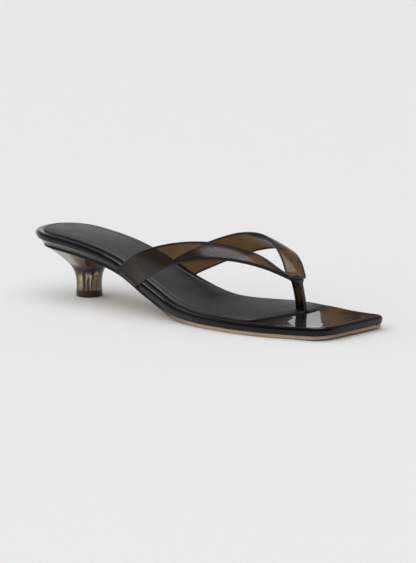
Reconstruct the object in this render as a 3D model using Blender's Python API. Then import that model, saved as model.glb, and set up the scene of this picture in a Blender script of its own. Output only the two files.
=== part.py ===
# Kitten heel thong sandal, right foot: square toe, two strap arms, a toe post and a short flared heel.
#
# The platform is drawn flat in plan and then lifted by one height line, the profile of the last.
# Outsole, footbed and sock lining all use that outline and that height line.
# Lengths are in millimetres until a mesh is written. +X points to the toe, +Y to the inner side
# of the foot, +Z up. Distances along the shoe are counted from the back of the heel.

import math

import bmesh
import bpy
from mathutils import Vector
from mathutils.geometry import delaunay_2d_cdt

MM = 0.001

# Driving sizes of the whole shoe
LENGTH = 255.0              # back of the heel to the toe, in plan
BALL_WIDTH = 83.0           # across the widest part of the forefoot
SEAT_RISE = 37.0            # how much higher the heel seat lies than the forefoot
TOE_SPRING = 0.9            # lift of the toe end above the floor line
STRAP_RISE = 42.5           # highest edge of the straps above the forefoot's rim

# Platform
HEEL_ROUND = 28.0           # length of the round end of the heel
TOE_CORNER_OUTER = 12.0     # size of the toe's rounded outer corner
TOE_CORNER_INNER = 6.5      # the same on the inner side, nearly square
TOE_SKEW = 0.074            # how much the toe end slants forward towards the inner side
TOE_BULGE = 1.6             # bow of the toe end
FOOTBED_FORE = 5.0          # wall of the footbed at the forefoot
FOOTBED_SEAT = 7.8          # wall of the footbed at the heel seat
SEAT_LEAN = 4.0             # how far the heel seat's wall leans in at its foot
FORE_LEAN = 0.35            # the same at the forefoot
RIM_ROUND = 2.4             # rounding of the footbed's top edge
OUTSOLE_THICK = 2.2
OUTSOLE_STEP = 0.8          # how far the outsole's edge stands back from the footbed
GAP = 0.3                   # clearance between neighbouring pieces
SEGMENT = 8.0               # spacing of the points along curved edges
GRID = 9.0                  # spacing of the points inside flat faces

# Sock lining
SOCK_THICK = 2.0
SOCK_ROUND = 2.6            # width of the padded, rounded edge
RIM_WIDTH = 5.0             # bare rim of the footbed around the sock lining
SOCK_GROOVE = 0.45          # groove between the rim and the sock lining
SOCK_TIP = 2.2              # rounding of the two front tips
RECESS_DEPTH = 0.9          # how deep the sock lining is let into the footbed

# Straps
STRAP_THICK = 2.0
STRAP_CROWN = 0.7           # bow of a strap across its width
TAB_THICK = 1.2             # skived end of a strap, held between footbed and outsole
TAB_LENGTH = 11.0
STRAP_RAKE = 4.5            # how far a strap runs back while it passes down the footbed's wall
CROTCH_ROUND = 1.0          # rounding of the inner corner of the V

# Toe post
POST_LENGTH = 6.6           # along the foot
POST_THICK = 3.8            # across the foot, two layers
POST_EDGE = 0.7             # cut corners of the post
POST_WAIST = 0.25           # how much shorter it is half way up
POST_TAB_LENGTH = 7.4       # flange that is lapped under the point of the V
POST_TAB_WIDTH = 8.0
POST_TAB_THICK = 0.8
POST_ALONG = 0.8145         # place of the post's foot, as a share of the length
POST_ACROSS = 0.124         # the same, as a share of the ball's width
POST_HEAD_SHARE = 0.78      # place of the post's head between the corner and the point of the V
POST_NECK_DROP = 2.4        # the post starts to widen this far under its flange
POST_NECK_STEP = 0.7        # how far forward of the flange's centre it stands there
POST_NOTCH = 6.0            # how far the lining's slot runs on, out of its front edge

# Heel
HEEL_AXIS = 39.7            # place of the column's axis
HEEL_OFFSET = -1.4          # the axis lies a little to the outer side
COLUMN_RADIUS = 8.45
HEEL_STEP = 0.5             # how far the heel's top stands back from the outsole's edge
BREAST_PLACE = 57.0         # front of the heel where it meets the outsole
TIP_THICK = 4.4
TIP_RADIUS = 8.75
TIP_CHAMFER = 0.5
HEEL_SIDES = 40

# Half widths of the outline: place as a share of LENGTH, widths as shares of BALL_WIDTH
OUTLINE = (
    # along, outer, inner
    (0.110, 0.335, 0.307),
    (0.216, 0.342, 0.276),
    (0.333, 0.349, 0.236),
    (0.451, 0.376, 0.268),
    (0.569, 0.448, 0.335),
    (0.667, 0.497, 0.436),
    (0.745, 0.505, 0.500),
    (0.824, 0.475, 0.480),
    (0.910, 0.398, 0.426),
    (1.000, 0.325, 0.395),
)

# Height line of the footbed's rim: shares of LENGTH and of SEAT_RISE
PROFILE = (
    # along, rise
    (0.000, 1.000),
    (0.110, 0.943),
    (0.216, 0.857),
    (0.333, 0.680),
    (0.451, 0.312),
    (0.569, 0.042),
    (0.647, 0.000),
    (1.000, 0.000),
)
SPRING_START = 0.880        # the toe spring begins here

# How the wall of the footbed changes from the heel seat, share 1, to the forefoot, share 0
WALL = (
    # along, thickness, lean
    (0.00, 1.00, 1.00),
    (0.10, 1.00, 1.00),
    (0.20, 0.85, 0.75),
    (0.32, 0.50, 0.25),
    (0.45, 0.38, 0.08),
    (0.57, 0.18, 0.00),
    (0.64, 0.00, 0.00),
    (1.00, 0.00, 0.00),
)

# Front edge of the sock lining, from the outer to the inner side
SOCK_FRONT = (
    # across, as a share of the half width there; along, as a share of LENGTH
    (-0.70, 0.8050),
    (-0.30, 0.8145),
    (0.00, 0.8240),
    (0.30, 0.8320),
    (0.55, 0.8320),
    (0.80, 0.8265),
)
SOCK_CORNER_OUTER = 0.794
SOCK_CORNER_INNER = 0.817

# Edges of the two strap arms above the rim, from the rim to the point of the V
# Places are shares of LENGTH and of BALL_WIDTH, heights are shares of STRAP_RISE above the forefoot
OUTER_ARM = (
    # rear along, rear across, rear height, front along, front across, front height
    (0.422, -0.382, 0.739, 0.490, -0.463, 0.473),
    (0.486, -0.355, 0.887, 0.548, -0.476, 0.646),
    (0.550, -0.294, 0.968, 0.607, -0.424, 0.762),
    (0.613, -0.211, 0.984, 0.664, -0.333, 0.799),
    (0.674, -0.116, 0.927, 0.717, -0.221, 0.759),
    (0.729, -0.016, 0.784, 0.766, -0.100, 0.655),
)
INNER_ARM = (
    # rear along, rear across, rear height, front along, front across, front height
    (0.429, 0.324, 0.681, 0.489, 0.385, 0.433),
    (0.488, 0.381, 0.841, 0.540, 0.468, 0.576),
    (0.552, 0.401, 0.951, 0.599, 0.503, 0.699),
    (0.619, 0.373, 0.976, 0.660, 0.483, 0.764),
    (0.680, 0.299, 0.902, 0.719, 0.411, 0.748),
    (0.732, 0.196, 0.747, 0.769, 0.308, 0.651),
)
# Places across a strap, from its rear to its front edge, with the share of its thickness there
STRAP_COLUMNS = ((0.0, 0.35), (0.02, 0.8), (0.05, 1.0), (0.28, 1.0), (0.5, 1.0), (0.72, 1.0),
                 (0.95, 1.0), (0.98, 0.8), (1.0, 0.35))
# Steps between the points of a strap path: seven points of its foot, then the arm's rows
STRAP_PARTS = (1, 1, 2, 2, 1, 2) + (3,) * (len(OUTER_ARM) + 1)
# How much of the full thickness a strap has at the seven points of its foot, 0 being the skived tab
BASE_SKIVE = (0.0, 0.0, 0.0, 0.0, 0.1, 0.75, 1.0)
OUTER_BASE = (0.365, 0.440)  # rear and front edge of the outer arm at the rim, shares of LENGTH
INNER_BASE = (0.376, 0.445)
CROTCH = (0.775, 0.078, 0.541)
POINT_OUTER = (0.810, 0.022, 0.502)
POINT_INNER = (0.812, 0.189, 0.494)
POINT_MIDDLE = (0.816, 0.105, 0.494)

# Flare of the heel: height share from tip to sole, spread share from column to heel seat
FLARE = (
    # height, spread, widening of the column
    (0.00, 0.000, 0.025),
    (0.10, 0.000, 0.005),
    (0.24, 0.008, 0.000),
    (0.38, 0.045, 0.015),
    (0.48, 0.095, 0.030),
    (0.57, 0.175, 0.040),
    (0.66, 0.305, 0.040),
    (0.75, 0.475, 0.030),
    (0.84, 0.665, 0.020),
    (0.92, 0.835, 0.010),
    (0.97, 0.935, 0.000),
    (1.00, 1.000, 0.000),
)


def clear_scene():
    """Remove what a new Blender file holds."""
    for obj in list(bpy.data.objects):
        bpy.data.objects.remove(obj, do_unlink=True)


def material(name, colour, roughness, metallic=0.0, alpha=1.0):
    """A Principled material with linear base colour."""
    mat = bpy.data.materials.new(name)
    mat.use_nodes = True
    shader = mat.node_tree.nodes["Principled BSDF"]
    shader.inputs["Base Color"].default_value = (*colour, 1.0)
    shader.inputs["Roughness"].default_value = roughness
    shader.inputs["Metallic"].default_value = metallic
    shader.inputs["Alpha"].default_value = alpha
    return mat


def read_curve(rows, column, place):
    """Value of a table's column at a place, on a smooth curve that never overshoots its rows."""
    xs = [row[0] for row in rows]
    ys = [row[column] for row in rows]
    if place <= xs[0]:
        return ys[0]
    if place >= xs[-1]:
        return ys[-1]
    slopes = [(ys[k + 1] - ys[k]) / (xs[k + 1] - xs[k]) for k in range(len(xs) - 1)]
    tangents = [slopes[0]]
    for before, after in zip(slopes[:-1], slopes[1:]):
        turning = before * after <= 0.0
        tangents.append(0.0 if turning else 2.0 * before * after / (before + after))
    tangents.append(slopes[-1])
    k = max(i for i in range(len(xs) - 1) if xs[i] <= place)
    step = xs[k + 1] - xs[k]
    t = (place - xs[k]) / step
    return ((1 + 2 * t) * (1 - t) ** 2 * ys[k] + t * (1 - t) ** 2 * step * tangents[k]
            + t * t * (3 - 2 * t) * ys[k + 1] + t * t * (t - 1) * step * tangents[k + 1])


def rim_height(x):
    """Height of the footbed's rim above the floor at a distance from the heel's back."""
    share = x / LENGTH
    forefoot = OUTSOLE_THICK + GAP + FOOTBED_FORE
    spring = max(0.0, (share - SPRING_START) / (1.0 - SPRING_START))
    return forefoot + SEAT_RISE * read_curve(PROFILE, 1, share) + TOE_SPRING * spring ** 2


def footbed_thickness(x):
    """Height of the footbed's wall."""
    return FOOTBED_FORE + (FOOTBED_SEAT - FOOTBED_FORE) * read_curve(WALL, 1, x / LENGTH)


def wall_lean(x):
    """How far the foot of the footbed's wall lies inside its rim."""
    return FORE_LEAN + (SEAT_LEAN - FORE_LEAN) * read_curve(WALL, 2, x / LENGTH)


def half_width(x, column):
    """Half width of the outline, column 1 on the outer side and 2 on the inner side."""
    width = BALL_WIDTH * read_curve(OUTLINE, column, x / LENGTH)
    if x >= HEEL_ROUND:
        return width
    return width * math.sqrt(max(0.0, 1.0 - ((HEEL_ROUND - x) / HEEL_ROUND) ** 2))


def toe_end(y):
    """Distance of the toe's end at a place across."""
    half = 0.5 * BALL_WIDTH
    return LENGTH + TOE_SKEW * y - TOE_BULGE * (y / half) ** 2


def curve_between(start, corner, end, count):
    """Inner points of a round corner."""
    points = []
    for k in range(1, count):
        t = k / count
        points.append(tuple((1 - t) ** 2 * a + 2 * t * (1 - t) * b + t * t * c
                            for a, b, c in zip(start, corner, end)))
    return points


def outline():
    """Plan outline of the footbed's rim, outer side first, anticlockwise from above."""
    turns = 7
    heel_turns = [math.pi / 2 * k / turns for k in range(turns)]
    sides = []
    for column, sign, toe_corner in ((1, -1.0, TOE_CORNER_OUTER), (2, 1.0, TOE_CORNER_INNER)):
        straight = LENGTH - toe_corner - HEEL_ROUND
        steps = round(straight / SEGMENT)
        stations = [HEEL_ROUND + straight * k / steps for k in range(steps + 1)]
        end_width = BALL_WIDTH * OUTLINE[0][column]
        side = [(HEEL_ROUND * (1 - math.cos(a)), sign * end_width * math.sin(a)) for a in heel_turns]
        side += [(x, sign * half_width(x, column)) for x in stations]
        y_corner = sign * half_width(LENGTH, column)
        corner = (toe_end(y_corner), y_corner)
        y_front = y_corner - sign * toe_corner
        front = (toe_end(y_front), y_front)
        side += curve_between(side[-1], corner, front, 6)
        side.append(front)
        sides.append(side)
    outer, inner = sides
    toe_count = 4
    y0, y1 = outer[-1][1], inner[-1][1]
    toe = [y0 + (y1 - y0) * k / toe_count for k in range(1, toe_count)]
    return outer + [(toe_end(y), y) for y in toe] + inner[:0:-1]


def inset(loop, distance):
    """Move an anticlockwise loop inwards, by a distance or by a function of the place along."""
    moved = []
    for k, (x, y) in enumerate(loop):
        xa, ya = loop[k - 1]
        xb, yb = loop[(k + 1) % len(loop)]
        before = Vector((x - xa, y - ya)).normalized()
        after = Vector((xb - x, yb - y)).normalized()
        along = (before + after).normalized()
        reach = distance(x) if callable(distance) else distance
        reach /= max(0.5, along.dot(after))
        moved.append((x - along.y * reach, y + along.x * reach))
    return moved


def crossing(loop, sign, x):
    """Distance across of a loop's outer side, sign -1, or inner side, sign 1, at a place along."""
    best = 0.0
    for k, (xa, ya) in enumerate(loop):
        xb, yb = loop[(k + 1) % len(loop)]
        if min(xa, xb) <= x < max(xa, xb):
            y = ya + (yb - ya) * (x - xa) / (xb - xa)
            best = max(best, sign * y)
    return sign * best


def inside(loop, x, y):
    """Whether a point lies in a loop."""
    found = False
    for k, (xa, ya) in enumerate(loop):
        xb, yb = loop[(k + 1) % len(loop)]
        if (ya > y) != (yb > y) and x < xa + (xb - xa) * (y - ya) / (yb - ya):
            found = not found
    return found


def lift(loop, height):
    """Give a plan loop its heights from a function of the place along."""
    return [(x, y, height(x)) for x, y in loop]


def new_object(name, bm, mat):
    """Write a bmesh in millimetres as an object in metres."""
    bmesh.ops.triangulate(bm, faces=bm.faces)
    bmesh.ops.recalc_face_normals(bm, faces=bm.faces)
    bmesh.ops.scale(bm, vec=(MM, MM, MM), verts=bm.verts)
    mesh = bpy.data.meshes.new(name)
    bm.to_mesh(mesh)
    bm.free()
    mesh.materials.append(mat)
    mesh.shade_smooth()
    mesh.set_sharp_from_angle(angle=math.radians(32))
    obj = bpy.data.objects.new(name, mesh)
    bpy.context.collection.objects.link(obj)
    return obj


def fill_loop(bm, ring, height):
    """Close a ring of vertices with a face that follows a height function."""
    plan = [Vector((v.co.x, v.co.y)) for v in ring]
    loop = [(p.x, p.y) for p in plan]
    edges = [(k, (k + 1) % len(plan)) for k in range(len(plan))]
    core = inset(loop, 0.35 * GRID)
    rows = int(LENGTH / GRID) + 2
    columns = int(BALL_WIDTH / GRID / 3.0) + 1
    for row in range(rows):
        for column in range(-columns, columns + 1):
            x = GRID * (row + 0.5)
            y = GRID * 1.5 * column
            if inside(core, x, y):
                plan.append(Vector((x, y)))
    points, _, faces, originals, _, _ = delaunay_2d_cdt(plan, edges, [], 1, 1e-5)
    verts = []
    for point, source in zip(points, originals):
        if source and source[0] < len(ring):
            verts.append(ring[source[0]])
        else:
            verts.append(bm.verts.new((point.x, point.y, height(point.x))))
    for face in faces:
        bm.faces.new([verts[k] for k in face])


def ring_solid(name, loops, bottom, top, mat):
    """A closed solid through level loops of equal count, closed by two faces that follow heights."""
    bm = bmesh.new()
    rings = [[bm.verts.new(point) for point in loop] for loop in loops]
    count = len(rings[0])
    for lower, upper in zip(rings[:-1], rings[1:]):
        for k in range(count):
            after = (k + 1) % count
            bm.faces.new((lower[k], lower[after], upper[after], upper[k]))
    fill_loop(bm, rings[0], bottom)
    fill_loop(bm, rings[-1], top)
    return new_object(name, bm, mat)


def cut(obj, cutter):
    """Cut one object out of another and keep the cutter as a guide."""
    cutter.hide_render = True
    cutter.display_type = "WIRE"
    change = obj.modifiers.new("cut_" + cutter.name, "BOOLEAN")
    change.operation = "DIFFERENCE"
    change.object = cutter


def outsole_bottom(x):
    """Height of the outsole's lower face."""
    return rim_height(x) - footbed_thickness(x) - GAP - OUTSOLE_THICK


def build_outsole(loop, mat):
    """The thin sole under the whole length, its edge set back from the footbed."""
    def level(rise):
        return lambda x: outsole_bottom(x) + rise

    def edge(share, chamfer=0.0):
        return lambda x: wall_lean(x) * (1.0 + share * 0.4) + OUTSOLE_STEP + chamfer

    steps = ((1.0, 0.5, 0.0), (0.9, 0.0, 0.35), (0.0, 0.0, OUTSOLE_THICK))
    loops = [lift(inset(loop, edge(share, chamfer)), level(rise)) for share, chamfer, rise in steps]
    return ring_solid("outsole", loops, level(0.0), level(OUTSOLE_THICK), mat)


def build_footbed(loop, mat):
    """The wrapped platform with its leaning wall and rounded rim."""
    def level(depth_share, drop):
        return lambda x: rim_height(x) - depth_share * footbed_thickness(x) - drop

    def edge(lean_share, round_share):
        return lambda x: wall_lean(x) * lean_share + RIM_ROUND * round_share

    steps = (
        # share of the lean, share of the rounding, share of the depth, drop of the rounding
        (1.0, 0.30, 1.00, 0.00),
        (0.90, 0.00, 0.90, 0.00),
        (0.45, 0.00, 0.62, 0.00),
        (0.00, 0.00, 0.00, 0.95),
        (0.00, 0.10, 0.00, 0.50),
        (0.00, 0.38, 0.00, 0.17),
        (0.00, 1.00, 0.00, 0.00),
    )
    loops = [lift(inset(loop, edge(lean, rounding)), level(depth, drop * RIM_ROUND))
             for lean, rounding, depth, drop in steps]
    return ring_solid("footbed", loops, level(1.0, 0.0), level(0.0, 0.0), mat)


def sock_outline(loop, distance):
    """Outline of the sock lining: the footbed's outline inset, ended by a bowed front edge."""
    sides = inset(loop, distance)
    front = []
    for across, along in SOCK_FRONT:
        x = LENGTH * along + RIM_WIDTH - distance
        sign = math.copysign(1.0, across)
        front.append((x, abs(across) * crossing(sides, sign, x)))
    corners = []
    for sign, along in ((-1.0, SOCK_CORNER_OUTER), (1.0, SOCK_CORNER_INNER)):
        x = LENGTH * along + RIM_WIDTH - distance
        corners.append((x, crossing(sides, sign, x)))
    outer, inner = corners
    outer_side = [(x, y) for x, y in sides if y <= 0.0 and x < outer[0] - 1.5 * SOCK_TIP]
    inner_side = [(x, y) for x, y in sides if y > 0.0 and x < inner[0] - 1.5 * SOCK_TIP]

    def tip(corner, before, after):
        start, end = Vector(before), Vector(after)
        middle = Vector(corner)
        first = middle + (start - middle).normalized() * SOCK_TIP
        last = middle + (end - middle).normalized() * SOCK_TIP
        return [tuple(first)] + curve_between(first, middle, last, 3) + [tuple(last)]

    return (outer_side + tip(outer, outer_side[-1], front[0]) + front
            + tip(inner, front[-1], inner_side[0]) + inner_side)


def build_sock(loop, mat):
    """The padded lining that lies in the footbed's recess."""
    base = sock_outline(loop, RIM_WIDTH + SOCK_GROOVE)

    def level(rise):
        return lambda x: rim_height(x) - RECESS_DEPTH + GAP + rise

    steps = ((0.10, 0.0), (0.0, 0.3), (0.0, 0.55), (0.12, 0.78), (0.42, 0.93), (1.0, 1.0))
    loops = [lift(inset(base, SOCK_ROUND * across), level(SOCK_THICK * rise)) for across, rise in steps]
    return ring_solid("sock_lining", loops, level(0.0), level(SOCK_THICK), mat)


def build_recess(loop, mat):
    """Cutter for the shallow recess under the sock lining."""
    base = sock_outline(loop, RIM_WIDTH)

    def level(rise):
        return lambda x: rim_height(x) + rise

    loops = [lift(base, level(-RECESS_DEPTH)), lift(base, level(SOCK_THICK))]
    return ring_solid("recess_cutter", loops, level(-RECESS_DEPTH), level(SOCK_THICK), mat)


def wall_point(loop, sign, x, out, rise):
    """A point beside the outline at a place along: out from the rim's edge, rise above it."""
    return Vector((x, crossing(loop, sign, x) + sign * out, rim_height(x) + rise))


def base_rail(loop, sign, x_rim):
    """Path of a strap's edge from its hidden tab up the footbed's wall to the rim."""
    x_seam = x_rim - STRAP_RAKE
    thick = footbed_thickness(x_seam)
    lean = wall_lean(x_seam)
    half_tab = 0.5 * TAB_THICK
    reach = GAP + 0.5 * STRAP_THICK
    middle = 0.5 * (x_rim + x_seam)
    return [
        wall_point(loop, sign, x_seam, -TAB_LENGTH - lean, half_tab - thick),
        wall_point(loop, sign, x_seam, -0.5 * TAB_LENGTH - lean, half_tab - thick),
        wall_point(loop, sign, x_seam, -0.9 * TAB_THICK - lean, half_tab - thick),
        wall_point(loop, sign, x_seam, 1.6 * GAP + half_tab - 0.5 * lean, TAB_THICK - thick),
        wall_point(loop, sign, x_seam, 1.6 * GAP + half_tab, 2.2 * TAB_THICK - thick),
        wall_point(loop, sign, middle, reach, -0.42 * thick),
        wall_point(loop, sign, x_rim, reach, 0.0),
    ]


def free_point(along, across, height):
    """A point of a strap's free edge, from shares of the shoe's sizes."""
    forefoot = rim_height(LENGTH) - TOE_SPRING
    return Vector((LENGTH * along, BALL_WIDTH * across, forefoot + STRAP_RISE * height))


def smooth_path(points, parts):
    """Points on a smooth curve through the given ones, with parts steps from each to the next."""
    path = []
    for k in range(len(points) - 1):
        p0 = points[max(k - 1, 0)]
        p1, p2 = points[k], points[k + 1]
        p3 = points[min(k + 2, len(points) - 1)]
        span = (p2 - p1).length
        start = (p2 - p0) * (span / max(1e-6, (p1 - p0).length + span))
        end = (p3 - p1) * (span / max(1e-6, (p3 - p2).length + span))
        for part in range(parts[k]):
            t = part / parts[k]
            path.append((1 + 2 * t) * (1 - t) ** 2 * p1 + t * (1 - t) ** 2 * start
                        + t * t * (3 - 2 * t) * p2 + t * t * (t - 1) * end)
    return path


def strap_path(loop, place):
    """Path from the outer tab over the V to the inner tab, at a place across from rear 0 to front 1."""
    crotch = free_point(*CROTCH)
    halves = []
    for sign, base, arm, point in ((-1.0, OUTER_BASE, OUTER_ARM, POINT_OUTER),
                                   (1.0, INNER_BASE, INNER_ARM, POINT_INNER)):
        points = base_rail(loop, sign, LENGTH * (base[0] + (base[1] - base[0]) * place))
        points += [free_point(*row[:3]).lerp(free_point(*row[3:]), place) for row in arm]
        corner = crotch + Vector((0.0, sign * CROTCH_ROUND, 0.0))
        points.append(corner.lerp(free_point(*point), place))
        halves.append(smooth_path(points, STRAP_PARTS) + [points[-1]])
    corner = crotch + Vector((0.8 * CROTCH_ROUND, 0.0, 0.0))
    middle = corner.lerp(free_point(*POINT_MIDDLE), place)
    return halves[0] + [middle] + halves[1][::-1]


def strap_thickness():
    """Thickness at each point of a strap path, skived at both tabs."""
    half = []
    for k, count in enumerate(STRAP_PARTS):
        for part in range(count):
            if k < len(BASE_SKIVE) - 1:
                half.append(BASE_SKIVE[k] + (BASE_SKIVE[k + 1] - BASE_SKIVE[k]) * part / count)
            else:
                half.append(1.0)
    shares = half + [1.0, 1.0, 1.0] + half[::-1]
    return [TAB_THICK + (STRAP_THICK - TAB_THICK) * share for share in shares]


def build_upper(loop, mat):
    """Both strap arms as one bent sheet that ends in a tab on each side."""
    paths = [strap_path(loop, place) for place, _ in STRAP_COLUMNS]
    thickness = strap_thickness()
    count = len(thickness)
    base_end = sum(STRAP_PARTS[:len(BASE_SKIVE) - 1])
    bm = bmesh.new()
    rings = []
    for k in range(count):
        a, b = max(k - 1, 0), min(k + 1, count - 1)
        across = paths[-1][k] - paths[0][k]
        crown = STRAP_CROWN * min(1.0, max(0.0, (min(k, count - 1 - k) - base_end) / 6.0))
        upper_side, lower_side = [], []
        for path, (place, share) in zip(paths, STRAP_COLUMNS):
            normal = across.cross(path[b] - path[a]).normalized()
            middle = path[k] + normal * (crown * 4.0 * place * (1.0 - place))
            offset = normal * (0.5 * thickness[k] * share)
            upper_side.append(bm.verts.new(middle + offset))
            lower_side.append(bm.verts.new(middle - offset))
        rings.append(upper_side + lower_side[::-1])
    for first, second in zip(rings[:-1], rings[1:]):
        for k in range(len(first)):
            after = (k + 1) % len(first)
            bm.faces.new((first[k], first[after], second[after], second[k]))
    bm.faces.new(rings[0])
    bm.faces.new(rings[-1])
    return new_object("upper", bm, mat)


def build_pocket(name, loop, sign, base, mat):
    """Cutter for the pocket in the footbed's lower face that takes a strap's tab."""
    x_rear = LENGTH * base[0] - STRAP_RAKE - 2.0 * GAP
    x_front = LENGTH * base[1] - STRAP_RAKE + 2.0 * GAP
    steps = 5
    bm = bmesh.new()
    rings = []
    for k in range(steps + 1):
        x = x_rear + (x_front - x_rear) * k / steps
        thick = footbed_thickness(x)
        lean = wall_lean(x)
        out = 2.0 * STRAP_THICK
        inward = -TAB_LENGTH - lean - 2.0 * GAP
        ceiling = TAB_THICK + 1.5 * GAP - thick
        floor = -thick - OUTSOLE_THICK
        corners = ((inward, floor), (out, floor), (out, ceiling), (inward, ceiling))
        rings.append([bm.verts.new(wall_point(loop, sign, x, a, b)) for a, b in corners])
    for first, second in zip(rings[:-1], rings[1:]):
        for k in range(4):
            after = (k + 1) % 4
            bm.faces.new((first[k], first[after], second[after], second[k]))
    bm.faces.new(rings[0])
    bm.faces.new(rings[-1])
    return new_object(name, bm, mat)


def rectangle(centre, length, width, rounding):
    """Corners of a rectangle with cut corners, level at its centre's height."""
    points = []
    for sx, sy in ((-1, -1), (1, -1), (1, 1), (-1, 1)):
        near_x = (centre.x + sx * (0.5 * length - rounding), centre.y + sy * 0.5 * width, centre.z)
        near_y = (centre.x + sx * 0.5 * length, centre.y + sy * (0.5 * width - rounding), centre.z)
        points += [near_y, near_x] if sx * sy > 0 else [near_x, near_y]
    return points


def column_solid(name, rings_of_points, mat):
    """A closed solid through rings of points that lie one above the other."""
    bm = bmesh.new()
    rings = [[bm.verts.new(point) for point in ring] for ring in rings_of_points]
    for lower, upper in zip(rings[:-1], rings[1:]):
        for k in range(len(lower)):
            after = (k + 1) % len(lower)
            bm.faces.new((lower[k], lower[after], upper[after], upper[k]))
    bm.faces.new(rings[0])
    bm.faces.new(rings[-1])
    return new_object(name, bm, mat)


def post_foot():
    """Centre of the toe post where it leaves the footbed."""
    x = LENGTH * POST_ALONG
    return Vector((x, BALL_WIDTH * POST_ACROSS, rim_height(x)))


def post_head():
    """Centre of the toe post's flange, under the point of the V."""
    crotch, middle = free_point(*CROTCH), free_point(*POINT_MIDDLE)
    centre = crotch.lerp(middle, POST_HEAD_SHARE)
    return centre - Vector((0.0, 0.0, 0.5 * STRAP_THICK + GAP))


def build_post(mat):
    """The toe post: a folded strip from the footbed's slot up to a flange under the straps."""
    foot, head = post_foot(), post_head()
    crotch, middle = free_point(*CROTCH), free_point(*POINT_MIDDLE)
    slope = (crotch.z - middle.z) / (middle.x - crotch.x)
    bottom = foot - Vector((0.0, 0.0, footbed_thickness(foot.x)))
    neck = head + Vector((POST_NECK_STEP, 0.0, -POST_TAB_THICK - POST_NECK_DROP))
    rings = []
    foot += Vector((0.0, 0.0, SOCK_THICK))
    waist = POST_LENGTH - POST_WAIST
    steps = ((bottom, POST_LENGTH), (foot, POST_LENGTH), (foot.lerp(neck, 0.35), waist),
             (foot.lerp(neck, 0.7), waist), (neck, POST_LENGTH))
    for centre, length in steps:
        rings.append(rectangle(centre, length, POST_THICK, POST_EDGE))
    for drop in (POST_TAB_THICK, 0.0):
        centre = head - Vector((0.0, 0.0, drop))
        ring = rectangle(centre, POST_TAB_LENGTH, POST_TAB_WIDTH, 2.0 * POST_EDGE)
        rings.append([(x, y, z - slope * (x - centre.x)) for x, y, z in ring])
    return column_solid("toe_post", rings, mat)


def build_slot(name, drop, rise, reach, mat):
    """Cutter for the slot that the toe post stands in; reach makes it longer towards the toe."""
    foot = post_foot() + Vector((0.5 * reach, 0.0, 0.0))
    length = POST_LENGTH + 2.0 * GAP + reach
    width = POST_THICK + 2.0 * GAP
    rings = [rectangle(foot + Vector((0.0, 0.0, z)), length, width, POST_EDGE) for z in (drop, rise)]
    return column_solid(name, rings, mat)


def heel_seat_radius(loop, angle):
    """Reach of the heel's top from the column's axis in a direction."""
    axis = Vector((HEEL_AXIS, HEEL_OFFSET))
    ray = Vector((math.cos(angle), math.sin(angle)))
    reach = LENGTH
    for k, a in enumerate(loop):
        b = loop[(k + 1) % len(loop)]
        edge = Vector(b) - Vector(a)
        across = ray.x * edge.y - ray.y * edge.x
        if abs(across) < 1e-9:
            continue
        offset = Vector(a) - axis
        distance = (offset.x * edge.y - offset.y * edge.x) / across
        share = (offset.x * ray.y - offset.y * ray.x) / across
        if distance > 0.0 and -1e-6 <= share <= 1.0 + 1e-6:
            reach = min(reach, distance)
    if ray.x > 0.0:
        breast = (BREAST_PLACE - HEEL_AXIS) / max(ray.x, 1e-6)
        sharpness = 5.0
        reach = (reach ** -sharpness + breast ** -sharpness) ** (-1.0 / sharpness)
    return reach


def build_heel(loop, mat):
    """The moulded heel: a round column that flares out to the whole heel seat."""
    seat = inset(loop, lambda x: wall_lean(x) * 1.4 + OUTSOLE_STEP + HEEL_STEP)
    angles = [2.0 * math.pi * k / HEEL_SIDES for k in range(HEEL_SIDES)]
    reaches = [heel_seat_radius(seat, angle) for angle in angles]
    foot = TIP_THICK + GAP
    rings = []
    for height, spread, widening in FLARE:
        column = COLUMN_RADIUS * (1.0 + widening)
        ring = []
        for angle, reach in zip(angles, reaches):
            radius = column + (reach - column) * spread
            x = HEEL_AXIS + radius * math.cos(angle)
            y = HEEL_OFFSET + radius * math.sin(angle)
            top = outsole_bottom(x) - GAP
            ring.append((x, y, foot + (top - foot) * height))
        rings.append(ring)
    bm = bmesh.new()
    rings = [[bm.verts.new(point) for point in ring] for ring in rings]
    for lower, upper in zip(rings[:-1], rings[1:]):
        for k in range(HEEL_SIDES):
            after = (k + 1) % HEEL_SIDES
            bm.faces.new((lower[k], lower[after], upper[after], upper[k]))
    bm.faces.new(rings[0])
    fill_loop(bm, rings[-1], lambda x: outsole_bottom(x) - GAP)
    return new_object("heel", bm, mat)


def build_heel_tip(mat):
    """The hard-wearing top piece under the heel's column."""
    rings = []
    levels = ((0.0, TIP_RADIUS - TIP_CHAMFER), (TIP_CHAMFER, TIP_RADIUS), (TIP_THICK, TIP_RADIUS - 0.1))
    for height, radius in levels:
        ring = []
        for k in range(HEEL_SIDES):
            angle = 2.0 * math.pi * k / HEEL_SIDES
            x = HEEL_AXIS + radius * math.cos(angle)
            y = HEEL_OFFSET + radius * math.sin(angle)
            ring.append((x, y, height))
        rings.append(ring)
    return column_solid("heel_tip", rings, mat)


def centre_on_origin(objects):
    """Move every mesh so that the box around the visible pieces stands centred on the origin."""
    bpy.context.view_layer.update()
    shown = [obj for obj in objects if not obj.hide_render]
    corners = [v.co for obj in shown for v in obj.data.vertices]
    low = Vector([min(c[k] for c in corners) for k in range(3)])
    high = Vector([max(c[k] for c in corners) for k in range(3)])
    shift = Vector((-0.5 * (low.x + high.x), -0.5 * (low.y + high.y), -low.z))
    for obj in objects:
        for v in obj.data.vertices:
            v.co += shift


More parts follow.
